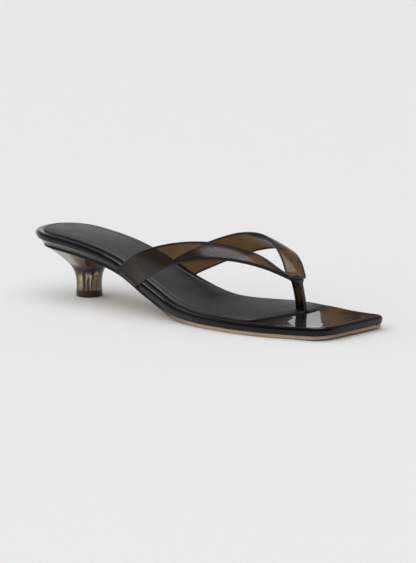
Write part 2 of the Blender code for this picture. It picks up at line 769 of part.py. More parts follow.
def build():
    """Make every piece of the shoe."""
    clear_scene()
    patent = material("black_patent_leather", (0.010, 0.010, 0.011), 0.12)
    lining = material("black_nappa_leather", (0.022, 0.022, 0.024), 0.45)
    sole_leather = material("tan_sole_leather", (0.235, 0.155, 0.085), 0.50)
    smoked_strap = material("smoked_vinyl_strap", (0.075, 0.050, 0.030), 0.15, alpha=0.8)
    smoked_heel = material("smoked_acrylic_heel", (0.120, 0.100, 0.075), 0.10, alpha=0.8)
    tip_rubber = material("dark_brown_top_piece", (0.020, 0.012, 0.008), 0.45)
    guide = material("guide", (0.5, 0.5, 0.5), 0.5)

    loop = outline()
    outsole = build_outsole(loop, sole_leather)
    footbed = build_footbed(loop, patent)
    sock = build_sock(loop, lining)
    upper = build_upper(loop, smoked_strap)
    post = build_post(smoked_strap)
    heel = build_heel(loop, smoked_heel)
    tip = build_heel_tip(tip_rubber)

    recess = build_recess(loop, guide)
    foot_thick = footbed_thickness(post_foot().x)
    slot = build_slot("slot_cutter", -2.0 * foot_thick, 2.0 * SOCK_THICK, 0.0, guide)
    notch = build_slot("notch_cutter", -2.0 * foot_thick, 2.0 * SOCK_THICK, POST_NOTCH, guide)
    outer_pocket = build_pocket("outer_pocket_cutter", loop, -1.0, OUTER_BASE, guide)
    inner_pocket = build_pocket("inner_pocket_cutter", loop, 1.0, INNER_BASE, guide)
    for cutter in (recess, slot, outer_pocket, inner_pocket):
        cut(footbed, cutter)
    cut(sock, notch)
    centre_on_origin([outsole, footbed, sock, upper, post, heel, tip,
                      recess, slot, notch, outer_pocket, inner_pocket])


build()
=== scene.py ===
# %% [markdown]
# # A kitten heel thong sandal
#
# The real object is a right shoe: a thin platform wrapped in black patent leather, a padded black
# lining, two straps of smoky translucent vinyl that meet at a toe post, and a moulded heel of
# smoky translucent plastic. The solids of the shoe are loaded as a fixed frame. They are faceted,
# and patent leather shows every facet, so each piece is modelled again here on the same curves,
# only smoother, and then gets its finish.

# %% Load the frame
import math
import bpy
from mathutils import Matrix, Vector


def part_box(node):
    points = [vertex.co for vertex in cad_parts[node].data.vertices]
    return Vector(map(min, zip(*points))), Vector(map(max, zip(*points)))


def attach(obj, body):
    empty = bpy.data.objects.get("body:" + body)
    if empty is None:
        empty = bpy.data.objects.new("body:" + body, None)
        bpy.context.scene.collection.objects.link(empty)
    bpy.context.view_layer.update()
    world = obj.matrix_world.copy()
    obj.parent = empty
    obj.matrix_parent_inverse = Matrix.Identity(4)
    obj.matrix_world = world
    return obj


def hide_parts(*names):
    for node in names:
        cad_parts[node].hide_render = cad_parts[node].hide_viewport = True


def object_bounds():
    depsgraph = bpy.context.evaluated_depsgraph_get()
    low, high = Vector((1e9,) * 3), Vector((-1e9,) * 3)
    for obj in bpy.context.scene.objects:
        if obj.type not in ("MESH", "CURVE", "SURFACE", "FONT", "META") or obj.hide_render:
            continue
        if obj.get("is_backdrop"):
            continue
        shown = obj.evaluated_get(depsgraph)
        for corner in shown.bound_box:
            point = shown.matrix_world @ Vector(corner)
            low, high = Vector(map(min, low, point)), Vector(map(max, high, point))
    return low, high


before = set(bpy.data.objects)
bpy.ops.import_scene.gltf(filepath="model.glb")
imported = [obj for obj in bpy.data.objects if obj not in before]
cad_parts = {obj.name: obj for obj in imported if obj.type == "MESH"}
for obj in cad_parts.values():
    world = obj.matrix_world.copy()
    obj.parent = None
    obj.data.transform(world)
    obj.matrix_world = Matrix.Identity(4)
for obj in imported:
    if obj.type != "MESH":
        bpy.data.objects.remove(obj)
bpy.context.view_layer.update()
MM = 0.001
print("solids:", ", ".join(sorted(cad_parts)))

# %% [markdown]
# ## The camera
#
# The photograph looks at the shoe from its outer side and a little from the front, from low down
# and about a metre and a half away. The camera stands there, and its long lens is aimed at the
# shoe, so the perspective is the photograph's and the shoe fills the frame.

# %% Camera
CAMERA_PLACE = Vector((0.8699, -1.0510, 0.2630))
CAMERA_TARGET = Vector((0.0073, 0.0065, 0.0190))
LENS = 138.0

camera_data = bpy.data.cameras.new("camera")
camera_data.lens = LENS
camera_data.sensor_width = 36.0
camera_data.clip_end = 60.0
camera = bpy.data.objects.new("camera", camera_data)
camera.location = CAMERA_PLACE
camera.rotation_euler = (CAMERA_TARGET - CAMERA_PLACE).to_track_quat("-Z", "Y").to_euler()
bpy.context.scene.collection.objects.link(camera)
bpy.context.scene.camera = camera
print("camera distance: %.2f m" % (CAMERA_TARGET - CAMERA_PLACE).length)

# %% [markdown]
# ## Sizes and curves of the shoe
#
# A shoemaker draws the platform flat and then bends it over the last. The same is done here: an
# outline in plan, and one height line that every layer follows. Lengths are in millimetres and
# are counted from the back of the heel. The frame's origin is the middle of the shoe, so the
# heel tip's box says how far the drawing has to move.

# %% Sizes
LENGTH, BALL_WIDTH, SEAT_RISE, TOE_SPRING, STRAP_RISE = 255.0, 83.0, 37.0, 0.9, 42.5
HEEL_ROUND, TOE_SKEW, TOE_BULGE = 28.0, 0.074, 1.6
TOE_CORNERS = {-1: 12.0, 1: 6.5}
FOOTBED_FORE, FOOTBED_SEAT, OUTSOLE_THICK, GAP = 5.0, 7.8, 2.2, 0.3
SEAT_LEAN, FORE_LEAN, OUTSOLE_STEP, RIM_ROUND, RIM_WIDTH = 4.0, 0.35, 0.8, 2.4, 5.0
HEEL_AXIS, HEEL_OFFSET = 39.7, -1.4

# place along, outer half width, inner half width
OUTLINE = ((0.110, 0.335, 0.307), (0.216, 0.342, 0.276), (0.333, 0.349, 0.236), (0.451, 0.376, 0.268),
           (0.569, 0.448, 0.335), (0.667, 0.497, 0.436), (0.745, 0.505, 0.500), (0.824, 0.475, 0.480),
           (0.910, 0.398, 0.426), (1.000, 0.325, 0.395))
# place along, rise of the rim
PROFILE = ((0.000, 1.000), (0.110, 0.943), (0.216, 0.857), (0.333, 0.680), (0.451, 0.312),
           (0.569, 0.042), (0.647, 0.000), (1.000, 0.000))
# place along, thickness of the footbed, lean of its wall
WALL = ((0.00, 1.00, 1.00), (0.10, 1.00, 1.00), (0.20, 0.85, 0.75), (0.32, 0.50, 0.25),
        (0.45, 0.38, 0.08), (0.57, 0.18, 0.00), (0.64, 0.00, 0.00), (1.00, 0.00, 0.00))
SPRING_START = 0.880

tip_low, tip_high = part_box("heel_tip")
SHIFT = Vector(((tip_low.x + tip_high.x) / 2 - HEEL_AXIS * MM,
                (tip_low.y + tip_high.y) / 2 - HEEL_OFFSET * MM, 0.0))
print("the drawing moves by", [round(v / MM, 1) for v in SHIFT], "mm")


# %% Points and curves
def at(x, y, z):
    """A drawing's point, in millimetres, as a point of the frame in metres."""
    return Vector((x * MM, y * MM, z * MM)) + SHIFT


def read_curve(rows, column, place):
    """Value of a table's column at a place, on a smooth curve that never overshoots its rows."""
    xs = [row[0] for row in rows]
    ys = [row[column] for row in rows]
    if place <= xs[0]:
        return ys[0]
    if place >= xs[-1]:
        return ys[-1]
    slopes = [(ys[k + 1] - ys[k]) / (xs[k + 1] - xs[k]) for k in range(len(xs) - 1)]
    bends = [slopes[0]]
    for before, after in zip(slopes[:-1], slopes[1:]):
        bends.append(0.0 if before * after <= 0.0 else 2.0 * before * after / (before + after))
    bends.append(slopes[-1])
    k = max(i for i in range(len(xs) - 1) if xs[i] <= place)
    step = xs[k + 1] - xs[k]
    t = (place - xs[k]) / step
    return ((1 + 2 * t) * (1 - t) ** 2 * ys[k] + t * (1 - t) ** 2 * step * bends[k]
            + t * t * (3 - 2 * t) * ys[k + 1] + t * t * (t - 1) * step * bends[k + 1])


def softened(rows, column, place, reach=0.022):
    """The same curve, averaged over a short stretch, because gloss shows where a curve changes."""
    steps = (-1.0, -0.5, 0.0, 0.5, 1.0)
    weights = (1.0, 2.0, 3.0, 2.0, 1.0)
    total = sum(w * read_curve(rows, column, place + reach * s) for s, w in zip(steps, weights))
    return total / sum(weights)


print("rise at half the length: %.2f of the heel's" % softened(PROFILE, 1, 0.5))


# %% Heights of the layers
def rim_height(x):
    share = x / LENGTH
    spring = max(0.0, (share - SPRING_START) / (1.0 - SPRING_START))
    forefoot = OUTSOLE_THICK + GAP + FOOTBED_FORE
    return forefoot + SEAT_RISE * softened(PROFILE, 1, share) + TOE_SPRING * spring ** 2


def footbed_thickness(x):
    return FOOTBED_FORE + (FOOTBED_SEAT - FOOTBED_FORE) * softened(WALL, 1, x / LENGTH)


def wall_lean(x):
    return FORE_LEAN + (SEAT_LEAN - FORE_LEAN) * softened(WALL, 2, x / LENGTH)


def outsole_bottom(x):
    return rim_height(x) - footbed_thickness(x) - GAP - OUTSOLE_THICK


print("rim: %.1f mm at the heel, %.1f mm at the ball" % (rim_height(0), rim_height(190)))

# %% [markdown]
# ## The outline
#
# Both sides of the outline get the same number of points, from the middle of the heel's back to
# the middle of the toe. So each point has a partner across the shoe, and a face that closes a
# ring can run from both sides to one line in the middle, with no long thin triangles.

# %% Outline
HEEL_TURNS, SIDE_STEPS, CORNER_STEPS, TOE_STEPS = 14, 64, 8, 7


def quarter_turn(steps):
    """Angles from 0 to a right angle."""
    return [math.pi / 2 * k / steps for k in range(steps + 1)]


def half_width(x, sign):
    width = BALL_WIDTH * softened(OUTLINE, 1 if sign < 0 else 2, x / LENGTH)
    if x < HEEL_ROUND:
        width *= math.sqrt(max(0.0, 1.0 - ((HEEL_ROUND - x) / HEEL_ROUND) ** 2))
    return width


def toe_end(y):
    return LENGTH + TOE_SKEW * y - TOE_BULGE * (y / (0.5 * BALL_WIDTH)) ** 2


def between(start, corner, end, count):
    """Inner points of a round corner."""
    made = []
    for k in range(1, count):
        t = k / count
        made.append(tuple((1 - t) ** 2 * a + 2 * t * (1 - t) * b + t * t * c
                          for a, b, c in zip(start, corner, end)))
    return made


def outline_side(sign):
    turns = quarter_turn(HEEL_TURNS)[:-1]
    side = [(x, sign * half_width(x, sign)) for x in (HEEL_ROUND * (1 - math.cos(a)) for a in turns)]
    corner_size = TOE_CORNERS[sign]
    straight = LENGTH - corner_size - HEEL_ROUND
    side += [(HEEL_ROUND + straight * k / SIDE_STEPS,
              sign * half_width(HEEL_ROUND + straight * k / SIDE_STEPS, sign))
             for k in range(SIDE_STEPS + 1)]
    y_corner = sign * half_width(LENGTH, sign)
    y_front = y_corner - sign * corner_size
    front = (toe_end(y_front), y_front)
    side += between(side[-1], (toe_end(y_corner), y_corner), front, CORNER_STEPS)
    side += [(toe_end(y_front * (1 - k / TOE_STEPS)), y_front * (1 - k / TOE_STEPS))
             for k in range(TOE_STEPS + 1)]
    return side


print("points on each side:", len(outline_side(1)))


# %% Rings
def join_sides(outer, inner):
    """One ring, anticlockwise from above, from two sides that share their first and last points."""
    return outer + inner[-2:0:-1]


def inset(loop, distance):
    """The ring moved inwards by a distance, or by a function of the place along."""
    moved = []
    for k, (x, y) in enumerate(loop):
        xa, ya = loop[k - 1]
        xb, yb = loop[(k + 1) % len(loop)]
        before = Vector((x - xa, y - ya)).normalized()
        after = Vector((xb - x, yb - y)).normalized()
        along = (before + after).normalized()
        reach = (distance(x) if callable(distance) else distance) / max(0.5, along.dot(after))
        moved.append((x - along.y * reach, y + along.x * reach))
    return moved


def crossing(loop, sign, x):
    """Distance across of the ring's outer side, sign -1, or inner side, sign 1, at a place along."""
    best = 0.0
    for k, (xa, ya) in enumerate(loop):
        xb, yb = loop[(k + 1) % len(loop)]
        if min(xa, xb) <= x < max(xa, xb):
            best = max(best, sign * (ya + (yb - ya) * (x - xa) / (xb - xa)))
    return sign * best


def to_middle(loop, share, margin=24.0):
    """The ring moved towards the shoe's middle line: share 1 lies on that line."""
    half = len(loop) // 2
    low = min(x for x, _ in loop) + margin
    high = max(x for x, _ in loop) - margin
    pairs = [(k, -k % len(loop)) for k in range(half + 1)]
    middle = [tuple(0.5 * (a + b) for a, b in zip(loop[k], loop[m])) for k, m in pairs]
    within = [p for p in middle if low <= p[0] <= high]
    moved = list(loop)
    for (k, m), point in zip(pairs, middle):
        goal = within[0] if point[0] < low else within[-1] if point[0] > high else point
        for index in {k, m}:
            moved[index] = tuple(a + (b - a) * share for a, b in zip(loop[index], goal))
    return moved


def lift(loop, height):
    """A plan ring with its heights, as points of the frame."""
    return [at(x, y, height(x)) for x, y in loop]


RIM = join_sides(outline_side(-1), outline_side(1))
print("outline:", len(RIM), "points")

# %% [markdown]
# ## Drawing a form out of a ring
#
# Platform, lining, straps and heel are all forms that one ring runs along. By hand this is made
# from a circle: it is bent to the first section and then extruded, and each new ring is moved to
# the next section. The helper below does just that, with Blender's own extrude, and says which
# corners belong to which ring, so the edges of a strap can be found again later.

# %% Draw out
def select_only(piece):
    bpy.ops.object.select_all(action="DESELECT")
    bpy.context.view_layer.objects.active = piece
    piece.select_set(True)


def draw_out(name, first, *runs):
    """A circle bent to the ring first, then extruded along each run of further rings."""
    bpy.ops.object.select_all(action="DESELECT")
    bpy.ops.mesh.primitive_circle_add(vertices=len(first), radius=0.01)
    piece = bpy.context.object
    piece.name = piece.data.name = name
    mesh = piece.data
    for corner, point in zip(mesh.vertices, first):
        corner.co = point
    rings = [list(range(len(first)))]
    for run in runs:
        ring = rings[0]
        for target in run:
            chosen = set(ring)
            for corner in mesh.vertices:
                corner.select = corner.index in chosen
            for edge in mesh.edges:
                edge.select = edge.vertices[0] in chosen and edge.vertices[1] in chosen
            for face in mesh.polygons:
                face.select = False
            place = {tuple(mesh.vertices[c].co): k for k, c in enumerate(ring)}
            before = len(mesh.vertices)
            bpy.ops.object.mode_set(mode="EDIT")
            bpy.ops.mesh.select_mode(type="EDGE")
            bpy.ops.mesh.extrude_region()
            bpy.ops.object.mode_set(mode="OBJECT")
            fresh = [0] * len(ring)
            for corner in mesh.vertices[before:]:
                k = place[tuple(corner.co)]
                fresh[k] = corner.index
                corner.co = target[k]
            ring = fresh
            rings.append(ring)
    return piece, rings


# %% [markdown]
# ### Closing, cutting and handing over
#
# A drawn form is closed where it is open, its corners that meet are merged, and its faces are
# turned outwards. Holes are cut by a Boolean modifier with a form of their own, as a maker cuts
# them after the wrapping. At last a piece is tied to the shoe's body and takes its solid's place.

# %% Close, cut and hand over
def close_form(piece, angle=40.0, ends=()):
    """Close open ends, merge corners that meet, turn faces outwards and shade smooth."""
    mesh = piece.data
    for ring in ends:
        chosen = set(ring)
        for corner in mesh.vertices:
            corner.select = corner.index in chosen
        for edge in mesh.edges:
            edge.select = edge.vertices[0] in chosen and edge.vertices[1] in chosen
        for face in mesh.polygons:
            face.select = False
        select_only(piece)
        bpy.ops.object.mode_set(mode="EDIT")
        bpy.ops.mesh.select_mode(type="EDGE")
        bpy.ops.mesh.edge_face_add()
        bpy.ops.object.mode_set(mode="OBJECT")
    select_only(piece)
    bpy.ops.object.mode_set(mode="EDIT")
    bpy.ops.mesh.select_all(action="SELECT")
    bpy.ops.mesh.remove_doubles(threshold=1e-6)
    bpy.ops.mesh.normals_make_consistent(inside=False)
    bpy.ops.object.mode_set(mode="OBJECT")
    bpy.ops.object.shade_smooth_by_angle(angle=math.radians(angle))
    return piece


def cut(piece, cutter):
    """Take a cutter's form out of a piece with a Boolean modifier, which is applied."""
    select_only(piece)
    change = piece.modifiers.new("cut", "BOOLEAN")
    change.operation = "DIFFERENCE"
    change.object = cutter
    bpy.ops.object.modifier_apply(modifier=change.name)
    bpy.data.objects.remove(cutter, do_unlink=True)


def finish_piece(piece, node):
    """Let the piece ride on the shoe's body and stand for its solid."""
    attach(piece, "root")
    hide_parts(node)
    print(piece.name, "has", len(piece.data.polygons), "faces")


# %% [markdown]
# ## The toe post's place
#
# The post stands in a slot that goes through lining and footbed, beside the big toe. In the
# lining the slot runs on out of the front edge, so the post's front meets the bare patent leather.
# Its place and size are needed for the slot, so they come before the layers that are cut for it.

# %% Post sizes and the slot
POST_LENGTH, POST_THICK, POST_EDGE, POST_NOTCH = 6.6, 3.8, 0.7, 6.0
POST_X, POST_Y = LENGTH * 0.8145, BALL_WIDTH * 0.124
SOCK_THICK, RECESS_DEPTH, SOCK_GROOVE, SOCK_ROUND = 2.0, 0.9, 0.45, 2.6
BAR_STEPS, SLOT_CUT = 4, 6.0


def rounded_bar(x, y, length, width, rounding):
    """Corners of a level rectangle with round corners, anticlockwise from above."""
    ring = []
    for quarter, (sx, sy) in enumerate(((1, -1), (1, 1), (-1, 1), (-1, -1))):
        cx, cy = x + sx * (0.5 * length - rounding), y + sy * (0.5 * width - rounding)
        for k in range(BAR_STEPS + 1):
            angle = math.pi / 2 * (quarter - 1 + k / BAR_STEPS)
            ring.append((cx + rounding * math.cos(angle), cy + rounding * math.sin(angle)))
    return ring


def slot_form(reach, gap):
    """The slot's form, to be cut out of a layer; reach makes it longer towards the toe."""
    ring = rounded_bar(POST_X + 0.5 * reach, POST_Y, POST_LENGTH + 2 * gap + reach,
                       POST_THICK + 2 * gap, POST_EDGE)
    base = rim_height(POST_X)
    form, rings = draw_out("slot", [at(x, y, base - SLOT_CUT) for x, y in ring],
                           [[at(x, y, base + SLOT_CUT) for x, y in ring]])
    return close_form(form, ends=(rings[0], rings[-1]))


print("post at %.0f mm from the heel's back" % POST_X)

# %% [markdown]
# ## The platform
#
# The footbed is insole board and filler, wrapped in patent leather that is pulled round the edge.
# Its wall leans in at the heel seat and stands upright at the forefoot, and the leather rolls over
# the top in a soft rim. The rings start at the foot of the wall, climb it, turn over the rim in
# small steps, and run to the middle. The shallow recess for the lining is cut in afterwards.

# %% Footbed
TURN_STEPS, ROLL_SHARE, FOOT_INSET = 7, 0.95, 0.7
# share of the wall's lean, further inset, share of the thickness, drop
WALL_ROWS = ((1.00, 0.28, 1.00, -0.10), (0.97, 0.0, 0.955, 0.0), (0.80, 0.0, 0.83, 0.0),
             (0.50, 0.0, 0.66, 0.0), (0.22, 0.0, 0.50, 0.6))
# place beyond the rim's width, drop
RIM_LEVEL = ((-1.2, 0.05), (0.6, 0.12))


def footbed_ring(lean_share, across, depth_share, drop):
    loop = inset(RIM, lambda x: wall_lean(x) * lean_share + across)
    return lift(loop, lambda x: rim_height(x) - depth_share * footbed_thickness(x) - drop)


rim_turn = [(RIM_ROUND * (1 - math.cos(a)), ROLL_SHARE * RIM_ROUND * (1 - math.sin(a)))
            for a in quarter_turn(TURN_STEPS)]
wall_rings = [footbed_ring(*row) for row in WALL_ROWS]
wall_rings += [footbed_ring(0.0, across, 0.0, drop) for across, drop in rim_turn]
wall_rings += [footbed_ring(0.0, RIM_WIDTH + beyond, 0.0, drop) for beyond, drop in RIM_LEVEL]
flat_start, flat_drop = RIM_LEVEL[-1]
top_loop = inset(RIM, RIM_WIDTH + flat_start)
for share in (0.2, 0.45, 0.7, 1.0):
    wall_rings.append(lift(to_middle(top_loop, share), lambda x: rim_height(x) - flat_drop))
foot_loop = inset(RIM, lambda x: wall_lean(x) + FOOT_INSET)
foot_rings = [lift(to_middle(foot_loop, share), lambda x: rim_height(x) - footbed_thickness(x))
              for share in (0.0, 0.35, 0.7, 1.0)]
footbed, _ = draw_out("footbed_wrapped", wall_rings[0], wall_rings[1:], foot_rings)
close_form(footbed)
print("footbed closed:", len(footbed.data.vertices), "corners")

# %% [markdown]
# ## The lining
#
# The lining is nappa leather over thin foam, glued into the recess. Its edge is rounded, it stands
# about a millimetre above the rim, and a line is pressed into it a few millimetres inside the
# edge. It ends in a bowed front edge with pointed corners, just at the toe post. The same helper
# draws it, and the pressed line is three of its rings moved down.

# %% Lining
SOCK_FRONT = ((-0.70, 0.8050), (-0.30, 0.8145), (0.00, 0.8240), (0.30, 0.8320), (0.55, 0.8320),
              (0.80, 0.8265))
SOCK_CORNERS = {-1: 0.794, 1: 0.817}
SOCK_ACROSS = (0.88, 0.76, 0.64, 0.52, 0.40, 0.28, 0.16, 0.07)
SOCK_CORNER, SOCK_STEPS, SOCK_CORNER_STEPS, SOCK_BOW_REACH = 4.84, 56, 6, 0.10
SOCK_WALL, SOCK_FOOT_INSET, CUT_ABOVE = (0.5, 0.9), 0.25, 3.0
# distance inside the edge, height: a pressed line with its two soft banks
PRESSED_LINE = ((3.4, 1.98), (3.7, 1.84), (3.95, 1.52), (4.2, 1.86), (4.5, 2.02), (5.6, 2.10))
# share of the way to the middle, rise of the padding
SOCK_CROWN = ((0.12, 0.07), (0.3, 0.16), (0.55, 0.24), (0.8, 0.28), (1.0, 0.28))


def sock_front(share, distance, sides):
    """Point of the bowed front edge, at a share of the way across."""
    rows = [(-1.0, SOCK_CORNERS[-1])] + list(SOCK_FRONT) + [(1.0, SOCK_CORNERS[1])]
    x = LENGTH * softened(rows, 1, share, SOCK_BOW_REACH) + RIM_WIDTH - distance
    sign = -1 if share < 0 else 1
    return (x, abs(share) * crossing(sides, sign, x))


def sock_loop(distance):
    """The lining's outline, set in from the rim's edge by a distance."""
    sides = inset(RIM, distance)
    made = []
    for sign in (-1, 1):
        corner_x = LENGTH * SOCK_CORNERS[sign] + RIM_WIDTH - distance
        last = corner_x - SOCK_CORNER
        xs = [distance + HEEL_ROUND * (1 - math.cos(a)) for a in quarter_turn(HEEL_TURNS)[:-1]]
        straight = last - distance - HEEL_ROUND
        xs += [distance + HEEL_ROUND + straight * k / SOCK_STEPS for k in range(SOCK_STEPS + 1)]
        side = [(x, crossing(sides, sign, x) if k else 0.0) for k, x in enumerate(xs)]
        corner = (corner_x, crossing(sides, sign, corner_x))
        front = [sock_front(sign * share, distance, sides) for share in SOCK_ACROSS + (0.0,)]
        side += between(side[-1], corner, front[0], SOCK_CORNER_STEPS) + front
        made.append(side)
    return join_sides(*made)


# %% Lining, drawn out
sock_base = sock_loop(RIM_WIDTH + SOCK_GROOVE)


def sock_ring(across, rise, share=0.0):
    loop = inset(sock_base, across) if across else sock_base
    loop = to_middle(loop, share) if share else loop
    return lift(loop, lambda x: rim_height(x) - RECESS_DEPTH + GAP + rise)


low_wall, high_wall = SOCK_WALL
edge_turn = [(SOCK_ROUND * (1 - math.cos(a)), high_wall + (SOCK_THICK - high_wall) * math.sin(a))
             for a in quarter_turn(TURN_STEPS)]
sock_rings = [sock_ring(0.0, low_wall)]
sock_rings += [sock_ring(across, rise) for across, rise in (*edge_turn, *PRESSED_LINE)]
pad_start, pad_rise = PRESSED_LINE[-1]
sock_rings += [sock_ring(pad_start, pad_rise + crown, share) for share, crown in SOCK_CROWN]
sock_foot = [sock_ring(SOCK_FOOT_INSET, 0.0, share) for share in (0.0, 0.4, 1.0)]
sock, _ = draw_out("sock_lining_padded", sock_rings[0], sock_rings[1:], sock_foot)
close_form(sock, 50.0)
print("lining closed:", len(sock.data.vertices), "corners")

# %% [markdown]
# ### Recess and slot
#
# The recess is as wide as the lining and a hair more, so a fine groove stays between them. It is
# a form of its own, drawn from the same outline and cut out of the footbed. The slot for the post
# is cut through both layers. Cutting comes after drawing, because a ring can't have a hole.

# %% Recess and slot
FOOTBED_SLOT_GAP, SOCK_SLOT_GAP = 0.1, 0.15
recess_loop = sock_loop(RIM_WIDTH)


def recess_ring(rise, share=0.0):
    loop = to_middle(recess_loop, share) if share else recess_loop
    return lift(loop, lambda x: rim_height(x) + rise)


recess, _ = draw_out("recess", recess_ring(-RECESS_DEPTH),
                     [recess_ring(CUT_ABOVE, share) for share in (0.0, 0.5, 1.0)],
                     [recess_ring(-RECESS_DEPTH, share) for share in (0.5, 1.0)])
close_form(recess)
cut(footbed, recess)
cut(footbed, slot_form(0.0, FOOTBED_SLOT_GAP))
cut(sock, slot_form(POST_NOTCH, SOCK_SLOT_GAP))
for layer in (footbed, sock):
    select_only(layer)
    bpy.ops.object.shade_smooth_by_angle(angle=math.radians(35.0))
finish_piece(footbed, "footbed")
finish_piece(sock, "sock_lining")

# %% [markdown]
# ## The outsole
#
# The outsole is one piece of sole leather, glued under the platform with its edge set back by
# less than a millimetre, cut square and lightly rounded below. It is drawn out of the same outline
# as the footbed, so their edges run side by side all round. One table gives the rings up its edge
# and over its top, and another those under it.

# %% Outsole
SOLE_LEAN, SOLE_EDGE = 1.2, 0.12
# further inset, rise from the sole's lower face, share of the way to the middle
SOLE_UP = ((0.0, 0.45, 0.0), (0.0, 1.2, 0.0), (0.0, OUTSOLE_THICK - SOLE_EDGE, 0.0),
           (SOLE_EDGE, OUTSOLE_THICK, 0.0), (SOLE_EDGE, OUTSOLE_THICK, 0.5), (SOLE_EDGE, OUTSOLE_THICK, 1.0))
SOLE_DOWN = ((0.13, 0.13, 0.0), (0.45, 0.0, 0.0), (0.45, 0.0, 0.15), (0.45, 0.0, 0.4), (0.45, 0.0, 0.7),
             (0.45, 0.0, 1.0))


def sole_ring(across, rise, share):
    loop = inset(RIM, lambda x: wall_lean(x) * SOLE_LEAN + OUTSOLE_STEP + across)
    loop = to_middle(loop, share) if share else loop
    return lift(loop, lambda x: outsole_bottom(x) + rise)


outsole, _ = draw_out("outsole_leather", sole_ring(*SOLE_UP[0]), [sole_ring(*row) for row in SOLE_UP[1:]],
                      [sole_ring(*row) for row in SOLE_DOWN])
close_form(outsole, 30.0)
finish_piece(outsole, "outsole")

# %% [markdown]
# ## The straps
#
# Each arm is a strip of 2 mm vinyl, cut square and painted black on its edges. It comes up out of
# the seam between footbed and outsole, lies against the wall, bends over the rim, crosses the
# foot in a high bow and joins the other arm above the toe post. Both arms are one long ring drawn
# out along a path. One number is kept at every corner: how far across the strap it lies. The edge
# paint is then simply where the strap ends.

# %% Strap sizes
STRAP_THICK, STRAP_CROWN, TAB_THICK, TAB_LENGTH, STRAP_RAKE, CROTCH_ROUND = 2.0, 0.7, 1.2, 11.0, 4.5, 1.0
# rear along, rear across, rear height, front along, front across, front height
OUTER_ARM = (
    (0.422, -0.382, 0.739, 0.490, -0.463, 0.473), (0.486, -0.355, 0.887, 0.548, -0.476, 0.646),
    (0.550, -0.294, 0.968, 0.607, -0.424, 0.762), (0.613, -0.211, 0.984, 0.664, -0.333, 0.799),
    (0.674, -0.116, 0.927, 0.717, -0.221, 0.759), (0.729, -0.016, 0.784, 0.766, -0.100, 0.655))
INNER_ARM = (
    (0.429, 0.324, 0.681, 0.489, 0.385, 0.433), (0.488, 0.381, 0.841, 0.540, 0.468, 0.576),
    (0.552, 0.401, 0.951, 0.599, 0.503, 0.699), (0.619, 0.373, 0.976, 0.660, 0.483, 0.764),
    (0.680, 0.299, 0.902, 0.719, 0.411, 0.748), (0.732, 0.196, 0.747, 0.769, 0.308, 0.651))
BASES = {-1: (0.365, 0.440), 1: (0.376, 0.445)}
POINTS = {-1: (0.810, 0.022, 0.502), 1: (0.812, 0.189, 0.494)}
CROTCH, POINT_MIDDLE = (0.775, 0.078, 0.541), (0.816, 0.105, 0.494)
STRAP_STEPS = (2, 2, 3, 3, 3, 5) + (7,) * (len(OUTER_ARM) + 1)
BASE_SKIVE = (0.0, 0.0, 0.0, 0.0, 0.1, 0.75, 1.0)
# place across the strap, share of the thickness
COLUMNS = ((0.0, 0.38), (0.008, 0.66), (0.020, 0.86), (0.034, 0.97), (0.050, 1.0), (0.16, 1.0), (0.27, 1.0),
           (0.385, 1.0), (0.5, 1.0), (0.615, 1.0), (0.73, 1.0), (0.84, 1.0), (0.950, 1.0), (0.966, 0.97),
           (0.980, 0.86), (0.992, 0.66), (1.0, 0.38))
print("strap rows on each arm:", len(OUTER_ARM))


# %% Strap paths
def wall_point(sign, x, out, rise):
    return Vector((x, crossing(RIM, sign, x) + sign * out, rim_height(x) + rise))


def base_rail(sign, x_rim):
    """Path of a strap's edge from its hidden tab up the wall to the rim."""
    x_seam = x_rim - STRAP_RAKE
    thick, lean = footbed_thickness(x_seam), wall_lean(x_seam)
    half_tab = 0.5 * TAB_THICK
    return [
        wall_point(sign, x_seam, -TAB_LENGTH - lean, half_tab - thick),
        wall_point(sign, x_seam, -0.5 * TAB_LENGTH - lean, half_tab - thick),
        wall_point(sign, x_seam, -0.9 * TAB_THICK - lean, half_tab - thick),
        wall_point(sign, x_seam, 1.6 * GAP + half_tab - 0.5 * lean, TAB_THICK - thick),
        wall_point(sign, x_seam, 1.6 * GAP + half_tab, 2.2 * TAB_THICK - thick),
        wall_point(sign, x_rim - 0.5 * STRAP_RAKE, GAP + 0.5 * STRAP_THICK, -0.42 * thick),
        wall_point(sign, x_rim, GAP + 0.5 * STRAP_THICK, 0.0),
    ]


def free_point(along, across, height):
    forefoot = OUTSOLE_THICK + GAP + FOOTBED_FORE
    return Vector((LENGTH * along, BALL_WIDTH * across, forefoot + STRAP_RISE * height))


def smooth_path(points, steps):
    """Points on a smooth curve through the given ones."""
    path = []
    for k in range(len(points) - 1):
        p0, p1, p2 = points[max(k - 1, 0)], points[k], points[k + 1]
        p3 = points[min(k + 2, len(points) - 1)]
        span = (p2 - p1).length
        start = (p2 - p0) * (span / max(1e-6, (p1 - p0).length + span))
        end = (p3 - p1) * (span / max(1e-6, (p3 - p2).length + span))
        for step in range(steps[k]):
            t = step / steps[k]
            path.append((1 + 2 * t) * (1 - t) ** 2 * p1 + t * (1 - t) ** 2 * start
                        + t * t * (3 - 2 * t) * p2 + t * t * (t - 1) * end)
    return path + [points[-1]]


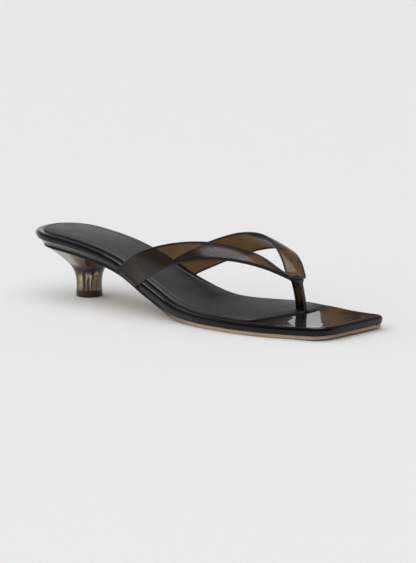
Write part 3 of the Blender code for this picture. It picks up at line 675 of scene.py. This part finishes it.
def strap_path(place):
    """Path from the outer tab over the V to the inner tab, from rear edge 0 to front edge 1."""
    crotch = free_point(*CROTCH)
    halves = []
    for sign, arm in ((-1, OUTER_ARM), (1, INNER_ARM)):
        rear, front = BASES[sign]
        points = base_rail(sign, LENGTH * (rear + (front - rear) * place))
        points += [free_point(*row[:3]).lerp(free_point(*row[3:]), place) for row in arm]
        corner = crotch + Vector((0.0, sign * CROTCH_ROUND, 0.0))
        points.append(corner.lerp(free_point(*POINTS[sign]), place))
        halves.append(smooth_path(points, STRAP_STEPS))
    middle = (crotch + Vector((0.8 * CROTCH_ROUND, 0.0, 0.0))).lerp(free_point(*POINT_MIDDLE), place)
    return halves[0] + [middle] + halves[1][::-1]


print("steps along the strap:", len(strap_path(0.5)))

# %% [markdown]
# ### Drawing out the straps
#
# At each step of the path the strap is cut across: a strip with thin edges, a little crowned once
# it has left the wall, and skived thin where its tab is hidden, so that the seam closes over it.
# The cuts are joined by extruding, which keeps the corners in rows. Each corner's place across the
# strap can then be written on it, and a curve with a bevel would not give that.

# %% Straps
CROWN_STEPS = 14.0
half_skive = []
for k, count in enumerate(STRAP_STEPS):
    for step in range(count):
        if k < len(BASE_SKIVE) - 1:
            half_skive.append(BASE_SKIVE[k] + (BASE_SKIVE[k + 1] - BASE_SKIVE[k]) * step / count)
        else:
            half_skive.append(1.0)
skive = half_skive + [1.0, 1.0, 1.0] + half_skive[::-1]
paths = [strap_path(place) for place, _ in COLUMNS]
count = len(paths[0])
base_end = sum(STRAP_STEPS[:len(BASE_SKIVE) - 1])
sections = []
for k in range(count):
    a, b = max(k - 1, 0), min(k + 1, count - 1)
    across = paths[-1][k] - paths[0][k]
    crown = STRAP_CROWN * min(1.0, max(0.0, (min(k, count - 1 - k) - base_end) / CROWN_STEPS))
    thick = TAB_THICK + (STRAP_THICK - TAB_THICK) * skive[k]
    top, below = [], []
    for path, (place, share) in zip(paths, COLUMNS):
        normal = across.cross(path[b] - path[a]).normalized()
        middle = path[k] + normal * (crown * 4.0 * place * (1.0 - place))
        top.append(at(*(middle + normal * (0.5 * thick * share))))
        below.append(at(*(middle - normal * (0.5 * thick * share))))
    sections.append(top + below[::-1])
upper, strap_rings = draw_out("strap_arms", sections[0], sections[1:])
upper.data.attributes.new("across", "FLOAT", "POINT")
places = [place for place, _ in COLUMNS]
for ring in strap_rings:
    for corner, place in zip(ring, places + places[::-1]):
        upper.data.attributes["across"].data[corner].value = place
close_form(upper, 50.0, ends=(strap_rings[0], strap_rings[-1]))
finish_piece(upper, "upper")
middle_path = paths[len(COLUMNS) // 2]
strap_length = sum((b - a).length for a, b in zip(middle_path, middle_path[1:]))
print("strap length: %.0f mm" % strap_length)

# %% [markdown]
# ## The toe post
#
# The post is a strip of the same vinyl, folded double, so its broad sides are brown and clear and
# its front and back are two black painted edges with a fine joint between them. It leans a little
# back and spreads under the point of the V, which lies on it without a gap. The joint is a shallow
# groove, pressed in by moving the middle corners of the front and the back.

# %% Toe post
POST_TAB_LENGTH, POST_TAB_WIDTH, POST_TAB_THICK, POST_HEAD_SHARE = 6.7, 8.0, 0.8, 0.745
POST_NECK_DROP, POST_NECK_STEP, POST_FOOT_GAP, POST_BOW, POST_WAIST = 2.4, 0.7, 0.5, 0.35, 0.25
POST_LAP, POST_GROOVE, NECK_EDGE, NECK_GROOVE, TAB_EDGE = 0.3, 0.22, 0.9, 0.1, 1.4


def post_ring(x, y, z, length, width, rounding, slope=0.0, groove=POST_GROOVE):
    """A section of the post, with the joint's groove in the middle of its front and its back."""
    ring = rounded_bar(x, y, length, width, rounding)
    per_corner = BAR_STEPS + 1
    grooved = []
    for k, (px, py) in enumerate(ring):
        grooved.append((px, py))
        if k in (per_corner - 1, 3 * per_corner - 1):
            ny = ring[k + 1][1]
            for share, depth in ((0.40, 0.0), (0.5, groove), (0.60, 0.0)):
                side = math.copysign(1.0, px - x)
                grooved.append((px - side * depth, py + (ny - py) * share))
    return [at(px, py, z - slope * (px - x)) for px, py in grooved]


# %% Toe post, drawn out
crotch, point = free_point(*CROTCH), free_point(*POINT_MIDDLE)
head = crotch.lerp(point, POST_HEAD_SHARE) - Vector((0.0, 0.0, 0.5 * STRAP_THICK - POST_LAP))
slope = (crotch.z - point.z) / (point.x - crotch.x)
foot = Vector((POST_X, POST_Y, rim_height(POST_X)))
neck = head + Vector((POST_NECK_STEP, 0.0, -POST_TAB_THICK - POST_NECK_DROP))
foot_end = foot - Vector((0.0, 0.0, footbed_thickness(POST_X) - POST_FOOT_GAP))
foot_top = foot + Vector((0.0, 0.0, SOCK_THICK))
stations = [(foot_end, 0.0), (foot_top, 0.0)]
for share in (0.12, 0.25, 0.4, 0.55, 0.7, 0.85):
    half_way = math.sin(math.pi * share)
    bow = Vector((POST_BOW * half_way, 0.0, 0.0))
    stations.append((foot_top.lerp(neck, share) + bow, POST_WAIST * half_way))
stations.append((neck, 0.0))
post_rings = [post_ring(p.x, p.y, p.z, POST_LENGTH - slim, POST_THICK, POST_EDGE) for p, slim in stations]
spread = head - Vector((0.0, 0.0, POST_TAB_THICK))
for share in (0.35, 0.65, 0.88):
    p = neck.lerp(spread, share)
    post_rings.append(post_ring(p.x, p.y, p.z, POST_LENGTH + (POST_TAB_LENGTH - POST_LENGTH) * share,
                                POST_THICK + (POST_TAB_WIDTH - POST_THICK) * share ** 2, NECK_EDGE,
                                slope * share, NECK_GROOVE))
for height in (0.0, 0.3, POST_TAB_THICK + POST_LAP):
    post_rings.append(post_ring(spread.x, spread.y, spread.z + height, POST_TAB_LENGTH, POST_TAB_WIDTH,
                                TAB_EDGE, slope, 0.0))
toe_post, post_ends = draw_out("toe_post_folded", post_rings[0], post_rings[1:])
close_form(toe_post, 35.0, ends=(post_ends[0], post_ends[-1]))
finish_piece(toe_post, "toe_post")

# %% [markdown]
# ## The heel
#
# The heel is moulded in one piece: a round column, slightly waisted, that opens in a long flare to
# the whole heel seat, with a flat breast at its front. The rings are circles at the tip and grow
# into the outline of the seat. The heel is glued on, so its ends sink a hair into sole and tip.

# %% Heel
COLUMN_RADIUS, TIP_THICK, TIP_RADIUS, BREAST_PLACE, HEEL_STEP = 8.45, 4.4, 8.75, 57.0, 0.5
SEATED, HEEL_LEAN, BREAST_SHARPNESS, FLARE_REACH = 0.06, 1.4, 5.0, 0.03
HEEL_SIDES, HEEL_LEVELS = 96, 30
# share of the height, share of the way out to the seat's outline, swelling of the column
FLARE = ((0.00, 0.000, 0.025), (0.10, 0.000, 0.005), (0.24, 0.008, 0.000), (0.38, 0.045, 0.015),
         (0.48, 0.095, 0.030), (0.57, 0.175, 0.040), (0.66, 0.305, 0.040), (0.75, 0.475, 0.030),
         (0.84, 0.665, 0.020), (0.92, 0.835, 0.010), (0.97, 0.935, 0.000), (1.00, 1.000, 0.000))


def seat_reach(loop, angle):
    """Reach of the heel's top from the column's axis in a direction."""
    axis, ray = Vector((HEEL_AXIS, HEEL_OFFSET)), Vector((math.cos(angle), math.sin(angle)))
    reach = LENGTH
    for k, a in enumerate(loop):
        edge = Vector(loop[(k + 1) % len(loop)]) - Vector(a)
        turn = ray.x * edge.y - ray.y * edge.x
        if abs(turn) < 1e-9:
            continue
        offset = Vector(a) - axis
        distance = (offset.x * edge.y - offset.y * edge.x) / turn
        share = (offset.x * ray.y - offset.y * ray.x) / turn
        if distance > 0.0 and -1e-6 <= share <= 1.0 + 1e-6:
            reach = min(reach, distance)
    if ray.x > 0.0:
        breast = (BREAST_PLACE - HEEL_AXIS) / max(ray.x, 1e-6)
        reach = (reach ** -BREAST_SHARPNESS + breast ** -BREAST_SHARPNESS) ** (-1.0 / BREAST_SHARPNESS)
    return reach


# %% Heel, drawn out
seat_loop = inset(RIM, lambda x: wall_lean(x) * HEEL_LEAN + OUTSOLE_STEP + HEEL_STEP)
angles = [2.0 * math.pi * k / HEEL_SIDES for k in range(HEEL_SIDES)]
reaches = [seat_reach(seat_loop, angle) for angle in angles]


def heel_ring(height, shrink=1.0):
    """The heel's section at a share of its height."""
    ring = []
    column = COLUMN_RADIUS * (1.0 + read_curve(FLARE, 2, height))
    spread = softened(FLARE, 1, height, FLARE_REACH)
    for angle, reach in zip(angles, reaches):
        radius = (column + (reach - column) * spread) * shrink
        x, y = HEEL_AXIS + radius * math.cos(angle), HEEL_OFFSET + radius * math.sin(angle)
        bottom = TIP_THICK - SEATED
        ring.append(at(x, y, bottom + (outsole_bottom(x) + SEATED - bottom) * height))
    return ring


levels = [k / HEEL_LEVELS for k in range(HEEL_LEVELS + 1)]
heel, heel_ends = draw_out("heel_moulded", heel_ring(0.0), [heel_ring(h) for h in levels[1:]] +
                           [heel_ring(1.0, s) for s in (0.75, 0.45, 0.15)])
close_form(heel, 40.0, ends=(heel_ends[0], heel_ends[-1]))
finish_piece(heel, "heel")

# %% [markdown]
# ## The heel tip
#
# The top piece under the column is a small disc of hard rubber. A cylinder is added at its size
# and place and both its edges are bevelled, so a shallow joint runs round it under the heel.

# %% Heel tip
TIP_BEVEL = 0.45
bpy.ops.object.select_all(action="DESELECT")
middle = at(HEEL_AXIS, HEEL_OFFSET, TIP_THICK / 2)
bpy.ops.mesh.primitive_cylinder_add(vertices=HEEL_SIDES, radius=TIP_RADIUS * MM, depth=TIP_THICK * MM,
                                    location=middle)
heel_tip = bpy.context.object
heel_tip.name = heel_tip.data.name = "heel_tip_rubber"
bpy.ops.object.transform_apply(location=True, rotation=True, scale=True)
bpy.ops.object.mode_set(mode="EDIT")
bpy.ops.mesh.select_mode(type="EDGE")
bpy.ops.mesh.select_all(action="DESELECT")
bpy.ops.object.mode_set(mode="OBJECT")
for edge in heel_tip.data.edges:
    heights = [heel_tip.data.vertices[v].co.z for v in edge.vertices]
    edge.select = abs(heights[0] - heights[1]) < 1e-6
bpy.ops.object.mode_set(mode="EDIT")
bpy.ops.mesh.bevel(offset=TIP_BEVEL * MM, segments=3, affect="EDGES")
bpy.ops.object.mode_set(mode="OBJECT")
bpy.ops.object.shade_smooth_by_angle(angle=math.radians(40.0))
finish_piece(heel_tip, "heel_tip")

# %% [markdown]
# ## Finishes
#
# Each finish starts from the real material. Colours are written as sRGB hex values, as a paint
# card would give them, and one function turns them into the linear numbers a shader needs. One
# more function adds a node with its settings and its links. A pattern's scale says how often it
# repeats in a metre, so it is worked out from the real size of the grain, in millimetres.
#
# Two nodes come back in most finishes. A Map Range turns a value into a share: input 0 is the
# value, 1 and 2 are the range it is read in, 3 and 4 the range it becomes. A Mix lays colour 7
# over colour 6 by the share at input 0, and the mixed colour is its output 2.

# %% Helpers for finishes
SMOOTH = {"interpolation_type": "SMOOTHSTEP"}
IN_COLOUR = {"data_type": "RGBA"}
MIXED = 2


def paint(code):
    """Linear colour of an sRGB hex value."""
    channels = [int(code[k:k + 2], 16) / 255.0 for k in (1, 3, 5)]
    return tuple(c / 12.92 if c <= 0.04045 else ((c + 0.055) / 1.055) ** 2.4 for c in channels) + (1.0,)


def repeats(size):
    """Scale of a pattern whose grain has this size, in millimetres."""
    return 1.0 / (size * MM)


def add_node(tree, kind, inputs=None, **settings):
    """Add a node; inputs gives each socket a value or another node's output."""
    node = tree.nodes.new(kind)
    for name, value in settings.items():
        setattr(node, name, value)
    for socket, value in (inputs or {}).items():
        if isinstance(value, bpy.types.NodeSocket):
            tree.links.new(value, node.inputs[socket])
        else:
            node.inputs[socket].default_value = value
    return node


def finish(name, **constants):
    """A new material with its Principled shader and its Object coordinates."""
    material = bpy.data.materials.new(name)
    material.use_nodes = True
    tree = material.node_tree
    shader = tree.nodes["Principled BSDF"]
    for socket, value in constants.items():
        shader.inputs[socket.replace("_", " ")].default_value = value
    place = add_node(tree, "ShaderNodeTexCoord").outputs["Object"]
    return material, tree, shader, place


def dress(piece, *materials):
    """Give a piece its materials, in the order of its slots."""
    piece.data.materials.clear()
    for material in materials:
        piece.data.materials.append(material)
    print(piece.name, "wears", ", ".join(material.name for material in materials))


# %% [markdown]
# ### Black patent leather
#
# Patent leather is dyed black and carries a thick clear lacquer. The lacquer is a mirror, but it
# lies over leather, so it is never quite flat: soft waves of about 17 mm bend what it mirrors, and
# an orange peel of about 1 mm blurs the leather under it a little.

# %% Patent leather
patent, tree, shader, place = finish("patent_leather_black", Base_Color=paint("#08080A"), Roughness=0.3,
                                     Specular_IOR_Level=0.05, Coat_Weight=1.0, Coat_Roughness=0.03,
                                     Coat_IOR=1.32)
waves = add_node(tree, "ShaderNodeTexNoise", {"Vector": place, "Scale": repeats(16.667), "Detail": 0.5})
peel = add_node(tree, "ShaderNodeTexNoise", {"Vector": place, "Scale": repeats(1.111), "Detail": 2.0})
soft = add_node(tree, "ShaderNodeBump", {"Height": waves.outputs[0], "Strength": 0.17, "Distance": 1.2 * MM})
fine = add_node(tree, "ShaderNodeBump", {"Height": peel.outputs[0], "Strength": 0.05, "Distance": 0.2 * MM,
                                         "Normal": soft.outputs[0]})
tree.links.new(fine.outputs[0], shader.inputs["Normal"])
tree.links.new(soft.outputs[0], shader.inputs["Coat Normal"])
dress(footbed, patent)

# %% [markdown]
# ### Black nappa
#
# The lining is soft drum-dyed nappa: nearly black and satin, with a grain of small pebbles, fine
# creases, and a little wear where the foot rests, which makes it greyer and duller. The pebbles of
# such leather are about 0.3 mm across. They are drawn at 0.77 mm, because finer ones wouldn't show.

# %% Nappa lining
nappa, tree, shader, place = finish("nappa_leather_black", Coat_Weight=0.12, Coat_Roughness=0.35)
pebbles = add_node(tree, "ShaderNodeTexVoronoi", {"Vector": place, "Scale": repeats(0.7692)},
                   feature="SMOOTH_F1")
creases = add_node(tree, "ShaderNodeTexNoise", {"Vector": place, "Scale": repeats(2.381), "Detail": 4.0,
                                                "Roughness": 0.6})
clouds = add_node(tree, "ShaderNodeTexNoise", {"Vector": place, "Scale": repeats(22.22), "Detail": 3.0})
worn = add_node(tree, "ShaderNodeMapRange", {0: clouds.outputs[0], 1: 0.38, 2: 0.68}, **SMOOTH)
dull = add_node(tree, "ShaderNodeMapRange", {0: clouds.outputs[0], 1: 0.35, 2: 0.70, 3: 0.36, 4: 0.48},
                **SMOOTH)
grey = add_node(tree, "ShaderNodeMix", {0: worn.outputs[0], 6: paint("#1D1D1F"), 7: paint("#2C2C2E")},
                **IN_COLOUR)
grain = add_node(tree, "ShaderNodeBump", {"Height": pebbles.outputs[0], "Strength": 0.25,
                                          "Distance": 0.3 * MM})
folds = add_node(tree, "ShaderNodeBump", {"Height": creases.outputs[0], "Strength": 0.25,
                                          "Distance": 0.5 * MM, "Normal": grain.outputs[0]})
tree.links.new(grey.outputs[MIXED], shader.inputs["Base Color"])
tree.links.new(dull.outputs[0], shader.inputs["Roughness"])
tree.links.new(folds.outputs[0], shader.inputs["Normal"])
dress(sock, nappa)

# %% [markdown]
# ### Sole leather
#
# The outsole is vegetable tanned leather, tan and satin, with pores and fibres of about 2 mm over
# wide pale blotches. Its edge is left tan at the forefoot and stained dark along the waist and the
# heel. The stain therefore follows the place along the shoe, and only faces that look sideways or
# up have it.

# %% Sole leather
STAIN_FULL, STAIN_GONE = -4.0 * MM, 34.0 * MM
sole_leather, tree, shader, place = finish("sole_leather_tan", Roughness=0.6, Specular_IOR_Level=0.2)
fibres = add_node(tree, "ShaderNodeTexNoise", {"Vector": place, "Scale": repeats(2.0), "Detail": 5.0,
                                               "Roughness": 0.65})
blotches = add_node(tree, "ShaderNodeTexNoise", {"Vector": place, "Scale": repeats(25.0), "Detail": 2.0})
along = add_node(tree, "ShaderNodeSeparateXYZ", {0: place}).outputs[0]
normal = add_node(tree, "ShaderNodeNewGeometry").outputs["Normal"]
looks_up = add_node(tree, "ShaderNodeSeparateXYZ", {0: normal}).outputs[2]
ranges = {"blotch": (blotches.outputs[0], 0.35, 0.65, 0.0, 1.0),
          "fibre": (fibres.outputs[0], 0.30, 0.75, 0.0, 0.5),
          "behind": (along, STAIN_FULL, STAIN_GONE, 1.0, 0.0),
          "edge": (looks_up, -0.75, -0.45, 0.0, 1.0)}
share = {name: add_node(tree, "ShaderNodeMapRange", dict(enumerate(row)), **SMOOTH).outputs[0]
         for name, row in ranges.items()}
share["stain"] = add_node(tree, "ShaderNodeMath", {0: share["behind"], 1: share["edge"]},
                          operation="MULTIPLY").outputs[0]
print("shares in the sole:", ", ".join(share))

# %% [markdown]
# Tan comes first. Pale blotches, brown fibres and the dark stain are then laid over it one by one,
# each by its share, as dye is wiped on a real sole.

# %% Sole leather, its colours
colour = paint("#A79279")
for name, code in (("blotch", "#B8A48B"), ("fibre", "#8E775C"), ("stain", "#14110F")):
    colour = add_node(tree, "ShaderNodeMix", {0: share[name], 6: colour, 7: paint(code)},
                      **IN_COLOUR).outputs[MIXED]
tree.links.new(colour, shader.inputs["Base Color"])
bump = add_node(tree, "ShaderNodeBump", {"Height": fibres.outputs[0], "Strength": 0.3, "Distance": 0.3 * MM})
tree.links.new(bump.outputs[0], shader.inputs["Normal"])
dress(outsole, sole_leather)

# %% [markdown]
# ### Smoky vinyl and its edge paint
#
# The straps are cast vinyl, tinted brown and clear enough to look through: dark over the black
# lining, tan where the pale floor shows. Light passes almost straight through, so the shader
# transmits with a low IOR, and its soft shine is a coat with a roughness of its own. The tint is
# its colour. The post is two layers thick, so it is darker, and its gloss is a little sharper. The
# cut edges are painted black with a flexible satin paint, which dries slightly uneven.

# %% Vinyl straps
vinyl, tree, shader, place = finish("smoky_vinyl_clear", Roughness=0.08, IOR=1.1, Transmission_Weight=0.95,
                                    Coat_Weight=0.62, Coat_Roughness=0.22, Coat_IOR=1.38)
smoke = add_node(tree, "ShaderNodeTexNoise", {"Vector": place, "Scale": repeats(16.667), "Detail": 3.0})
thin = add_node(tree, "ShaderNodeMapRange", {0: smoke.outputs[0], 1: 0.35, 2: 0.70}, **SMOOTH)
tint = add_node(tree, "ShaderNodeMix", {0: thin.outputs[0], 6: paint("#564029"), 7: paint("#664E33")},
                **IN_COLOUR)
ripple = add_node(tree, "ShaderNodeBump", {"Height": smoke.outputs[0], "Strength": 0.12,
                                           "Distance": 0.8 * MM})
tree.links.new(tint.outputs[MIXED], shader.inputs["Base Color"])
tree.links.new(ripple.outputs[0], shader.inputs["Normal"])
print(vinyl.name)

# %% Doubled vinyl of the post
double_vinyl, tree, shader, place = finish("smoky_vinyl_double", Base_Color=paint("#33240F"),
                                           Roughness=0.14, IOR=1.3, Transmission_Weight=0.92)
smoke = add_node(tree, "ShaderNodeTexNoise", {"Vector": place, "Scale": repeats(11.11), "Detail": 2.0})
ripple = add_node(tree, "ShaderNodeBump", {"Height": smoke.outputs[0], "Strength": 0.12,
                                           "Distance": 0.8 * MM})
tree.links.new(ripple.outputs[0], shader.inputs["Normal"])
print(double_vinyl.name)

# %% Edge paint
edge_paint, tree, shader, place = finish("edge_paint_black", Base_Color=paint("#0B0A0A"), Roughness=0.38)
uneven = add_node(tree, "ShaderNodeTexNoise", {"Vector": place, "Scale": repeats(1.4286), "Detail": 2.0})
bump = add_node(tree, "ShaderNodeBump", {"Height": uneven.outputs[0], "Strength": 0.15,
                                         "Distance": 0.2 * MM})
tree.links.new(bump.outputs[0], shader.inputs["Normal"])
dress(upper, vinyl, edge_paint)
dress(toe_post, double_vinyl, edge_paint)

# %% [markdown]
# ### Where the paint goes
#
# Edge paint is put on after the strip is cut, on the cut faces only. On the straps those are the
# faces whose corners all lie at the very edge of the strip. On the post they are its front and its
# back, apart from the fine joint between its two layers, and the flange at its top.

# %% Painted faces
EDGE_SHARE = 0.051
SIDE_TURN, HEAD_PAINT, JOINT_SHARE = 0.35, 1.3, 0.1
across = upper.data.attributes["across"].data
painted = 0
for face in upper.data.polygons:
    values = [across[v].value for v in face.vertices]
    if max(values) < EDGE_SHARE or min(values) > 1.0 - EDGE_SHARE:
        face.material_index = 1
        painted += 1
joint = JOINT_SHARE * POST_THICK * MM
for face in toe_post.data.polygons:
    is_side = abs(face.normal.x) > SIDE_TURN
    in_joint = is_side and abs(face.center.y - at(0, POST_Y, 0).y) < joint
    if (is_side or face.center.z > (head.z - HEAD_PAINT) * MM) and not in_joint:
        face.material_index = 1
print("painted faces on the straps:", painted)

# %% [markdown]
# ### Smoky moulded plastic
#
# The heel is clear acrylic with a brown smoke in it. Pale upright streaks of about 2 mm run down
# the column. They are painted light, standing in for the bright room seen bent through the round
# column. The column is darker in a band where it opens. Above it the flare is pale and milky, with
# one darker patch at its front. Streaks are noise that is stretched upwards round the column's
# axis. Light takes a longer way through the sides of the column, so they are darker, which the
# Layer Weight node gives as it does for tinted glass.
#
# Each part of the pattern is a share from 0 to 1. A table lists them, and the colours are then
# laid over each other one by one, each by its share.

# %% Heel plastic, its pattern
acrylic, tree, shader, place = finish("smoky_acrylic_polished", Roughness=0.07, IOR=1.49)
axis = at(HEEL_AXIS, HEEL_OFFSET, 0.0)
centred = add_node(tree, "ShaderNodeMapping", {"Vector": place, "Location": (-axis.x, -axis.y, 0.0)})
upright = add_node(tree, "ShaderNodeMapping", {"Vector": centred.outputs[0], "Scale": (1.0, 1.0, 0.03)})
noise = add_node(tree, "ShaderNodeTexNoise", {"Vector": upright.outputs[0], "Scale": repeats(2.0833),
                                              "Detail": 1.5}).outputs[0]
parts = add_node(tree, "ShaderNodeSeparateXYZ", {0: centred.outputs[0]})
forward, height = parts.outputs[0], parts.outputs[2]
grazing = add_node(tree, "ShaderNodeLayerWeight", {"Blend": 0.5}).outputs["Facing"]
# The first share is painted light: pale streaks that stand in for the bright room seen bent through the
# round column.
ranges = {"painted_light_streak": (noise, 0.44, 0.58, 0.0, 1.0),
          "above": (height, 17.5 * MM, 22.5 * MM, 0.0, 1.0),
          "funnel": (height, 15.0 * MM, 19.0 * MM, 0.0, 1.0),
          "under_seat": (height, 20.0 * MM, 23.0 * MM, 1.0, 0.0),
          "front": (forward, -4.0 * MM, 6.0 * MM, 0.0, 1.0),
          "side": (grazing, 0.45, 0.85, 0.0, 0.9),
          "column": (height, 15.0 * MM, 21.0 * MM, 1.0, 0.0),
          "clear": (noise, 0.42, 0.60, 0.35, 0.75),
          "not_milky": (height, 17.5 * MM, 22.5 * MM, 1.0, 0.3)}
share = {name: add_node(tree, "ShaderNodeMapRange", dict(enumerate(row)), **SMOOTH).outputs[0]
         for name, row in ranges.items()}
print("shares in the heel:", ", ".join(share))

# %% Heel plastic, its colours
# The funnel share is a darker band where the column opens, and the share after it a darker patch at the
# flare's front.
for name, first, second in (("funnel", "funnel", "under_seat"), ("darker_front_patch", "above", "front"),
                            ("side", "side", "column"), ("clear", "clear", "not_milky")):
    share[name] = add_node(tree, "ShaderNodeMath", {0: share[first], 1: share[second]},
                           operation="MULTIPLY").outputs[0]
colour = paint("#20170E")
# The pale streak colour laid over the smoke is painted light, not a colour of the plastic.
for name, code in (("painted_light_streak", "#D2B88F"), ("above", "#B4B3A8"), ("funnel", "#2C2015"),
                   ("darker_front_patch", "#4A3726"), ("side", "#171009")):
    colour = add_node(tree, "ShaderNodeMix", {0: share[name], 6: colour, 7: paint(code)},
                      **IN_COLOUR).outputs[MIXED]
tree.links.new(colour, shader.inputs["Base Color"])
tree.links.new(share["clear"], shader.inputs["Transmission Weight"])
dress(heel, acrylic)

# %% [markdown]
# ### Rubber top piece
#
# The top piece is a disc of hard brown rubber, satin and slightly mottled, with a grain of about
# 2.4 mm.

# %% Rubber of the heel tip
top_piece, tree, shader, place = finish("top_piece_rubber_brown", Roughness=0.34)
filler = add_node(tree, "ShaderNodeTexNoise", {"Vector": place, "Scale": repeats(2.381), "Detail": 3.0})
mottle = add_node(tree, "ShaderNodeMapRange", {0: filler.outputs[0], 1: 0.35, 2: 0.70}, **SMOOTH)
brown = add_node(tree, "ShaderNodeMix", {0: mottle.outputs[0], 6: paint("#1E130C"), 7: paint("#33221A")},
                 **IN_COLOUR)
bump = add_node(tree, "ShaderNodeBump", {"Height": filler.outputs[0], "Strength": 0.2, "Distance": 0.3 * MM})
tree.links.new(brown.outputs[MIXED], shader.inputs["Base Color"])
tree.links.new(bump.outputs[0], shader.inputs["Normal"])
dress(heel_tip, top_piece)

# %% [markdown]
# ## Floor and light
#
# The shoe stands on a sheet of pale studio paper, matt and very slightly rough. A plane is enough
# for it. It is much larger than the shoe, so that its end is never seen.

# %% Floor
FLOOR_SIZE, FLOOR_DROP = 24.0, 0.2 * MM
bpy.ops.object.select_all(action="DESELECT")
bpy.ops.mesh.primitive_plane_add(size=FLOOR_SIZE, location=(0.0, 0.0, -FLOOR_DROP))
floor = bpy.context.object
floor.name = "floor"
paper, tree, shader, place = finish("studio_paper", Base_Color=paint("#E4E4E4"), Roughness=0.9)
grain = add_node(tree, "ShaderNodeTexNoise", {"Vector": place, "Scale": repeats(1.111), "Detail": 2.0})
bump = add_node(tree, "ShaderNodeBump", {"Height": grain.outputs[0], "Strength": 0.02, "Distance": 0.2 * MM})
tree.links.new(bump.outputs[0], shader.inputs["Normal"])
dress(floor, paper)
floor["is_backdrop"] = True

# %% [markdown]
# ### Surroundings
#
# Round the shoe is a pale wall, and it is darker higher up and on the camera's side, as a studio
# is. The world gives that without any walls: its colour changes with the height of a direction
# and with how far the direction turns to the camera's side.

# %% Surroundings
CAMERA_SIDE = (0.62, -0.78, 0.0)
world = bpy.data.worlds.new("studio")
bpy.context.scene.world = world
world.use_nodes = True
tree = world.node_tree
direction = add_node(tree, "ShaderNodeTexCoord").outputs["Generated"]
rise = add_node(tree, "ShaderNodeSeparateXYZ", {0: direction}).outputs[2]
front = add_node(tree, "ShaderNodeVectorMath", {0: direction, 1: CAMERA_SIDE},
                 operation="DOT_PRODUCT").outputs["Value"]
sky = paint("#F0F0F0")
for value, low, high, code in ((rise, 0.20, 0.42, "#8F8F92"), (front, -0.15, 0.45, "#4C4A48")):
    over = add_node(tree, "ShaderNodeMapRange", {0: value, 1: low, 2: high}, **SMOOTH)
    sky = add_node(tree, "ShaderNodeMix", {0: over.outputs[0], 6: sky, 7: paint(code)},
                   **IN_COLOUR).outputs[MIXED]
tree.links.new(sky, tree.nodes["Background"].inputs["Color"])
print("world:", world.name)


# %% [markdown]
# ### Lights
#
# One big soft light from the front left keeps the shadows faint. A sun with a wide angle is such a
# light. A second one, overhead, is seen by gloss only and draws the bright lines on rim and straps.

# %% Lights
def sun(name, direction, angle, strength):
    """A sun that shines from a direction, with its angle in degrees."""
    data = bpy.data.lights.new(name, "SUN")
    data.angle = math.radians(angle)
    data.energy = strength
    light = bpy.data.objects.new(name, data)
    light.rotation_euler = Vector(direction).to_track_quat("Z", "Y").to_euler()
    bpy.context.scene.collection.objects.link(light)
    return light


box = sun("overhead_box", (-0.15, 0.25, 1.0), 32.0, 0.9)
box.visible_diffuse = box.visible_transmission = False
fill = sun("ceiling", (-0.35, -0.50, 1.0), 130.0, 3.1)
fill.visible_glossy = False
print("lights:", box.name, "and", fill.name)

# %% [markdown]
# ### Cards
#
# A mirror is only as lively as what it mirrors. Two cards stand behind the shoe, one brown and one
# dark, and only gloss and clear plastic see them. The patent leather of the toe shows them, and
# soft level stripes on them keep what it shows from being flat.

# %% Cards
CARD_PLACE = 128.0


def glow_card(name, corners, colour, darker):
    """An upright card that only gloss and clear plastic can see, from four corners in mm."""
    bpy.ops.object.select_all(action="DESELECT")
    bpy.ops.mesh.primitive_plane_add(size=1.0)
    card = bpy.context.object
    card.name = name
    order = (corners[0], corners[1], corners[3], corners[2])
    for vertex, (x, z) in zip(card.data.vertices, order):
        vertex.co = (x * MM, CARD_PLACE * MM, z * MM)
    card.visible_camera = card.visible_diffuse = card.visible_shadow = False
    glow = bpy.data.materials.new(name)
    glow.use_nodes = True
    tree = glow.node_tree
    tree.nodes.clear()
    place = add_node(tree, "ShaderNodeTexCoord").outputs["Object"]
    drawn = add_node(tree, "ShaderNodeMapping", {"Vector": place, "Scale": (0.25, 1.0, 1.6)})
    stripes = add_node(tree, "ShaderNodeTexNoise", {"Vector": drawn.outputs[0], "Scale": repeats(6.25)})
    over = add_node(tree, "ShaderNodeMapRange", {0: stripes.outputs[0], 1: 0.38, 2: 0.62}, **SMOOTH)
    striped = add_node(tree, "ShaderNodeMix", {0: over.outputs[0], 6: paint(colour), 7: paint(darker)},
                       **IN_COLOUR)
    light = add_node(tree, "ShaderNodeEmission", {"Color": striped.outputs[MIXED]})
    add_node(tree, "ShaderNodeOutputMaterial", {"Surface": light.outputs[0]})
    dress(card, glow)
    card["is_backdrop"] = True


glow_card("brown_card", ((0, 4), (64, 4), (60, 60), (14, 60)), "#826A50", "#4E3D2C")
glow_card("dark_card", ((-150, 33), (-12, 33), (-34, 70), (-150, 70)), "#2E2820", "#241F19")
bpy.context.scene.view_settings.view_transform = "Standard"

# %% Write sizes and finish
low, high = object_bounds()
print("visual box", [round(v / MM, 1) for v in (*low, *high)])
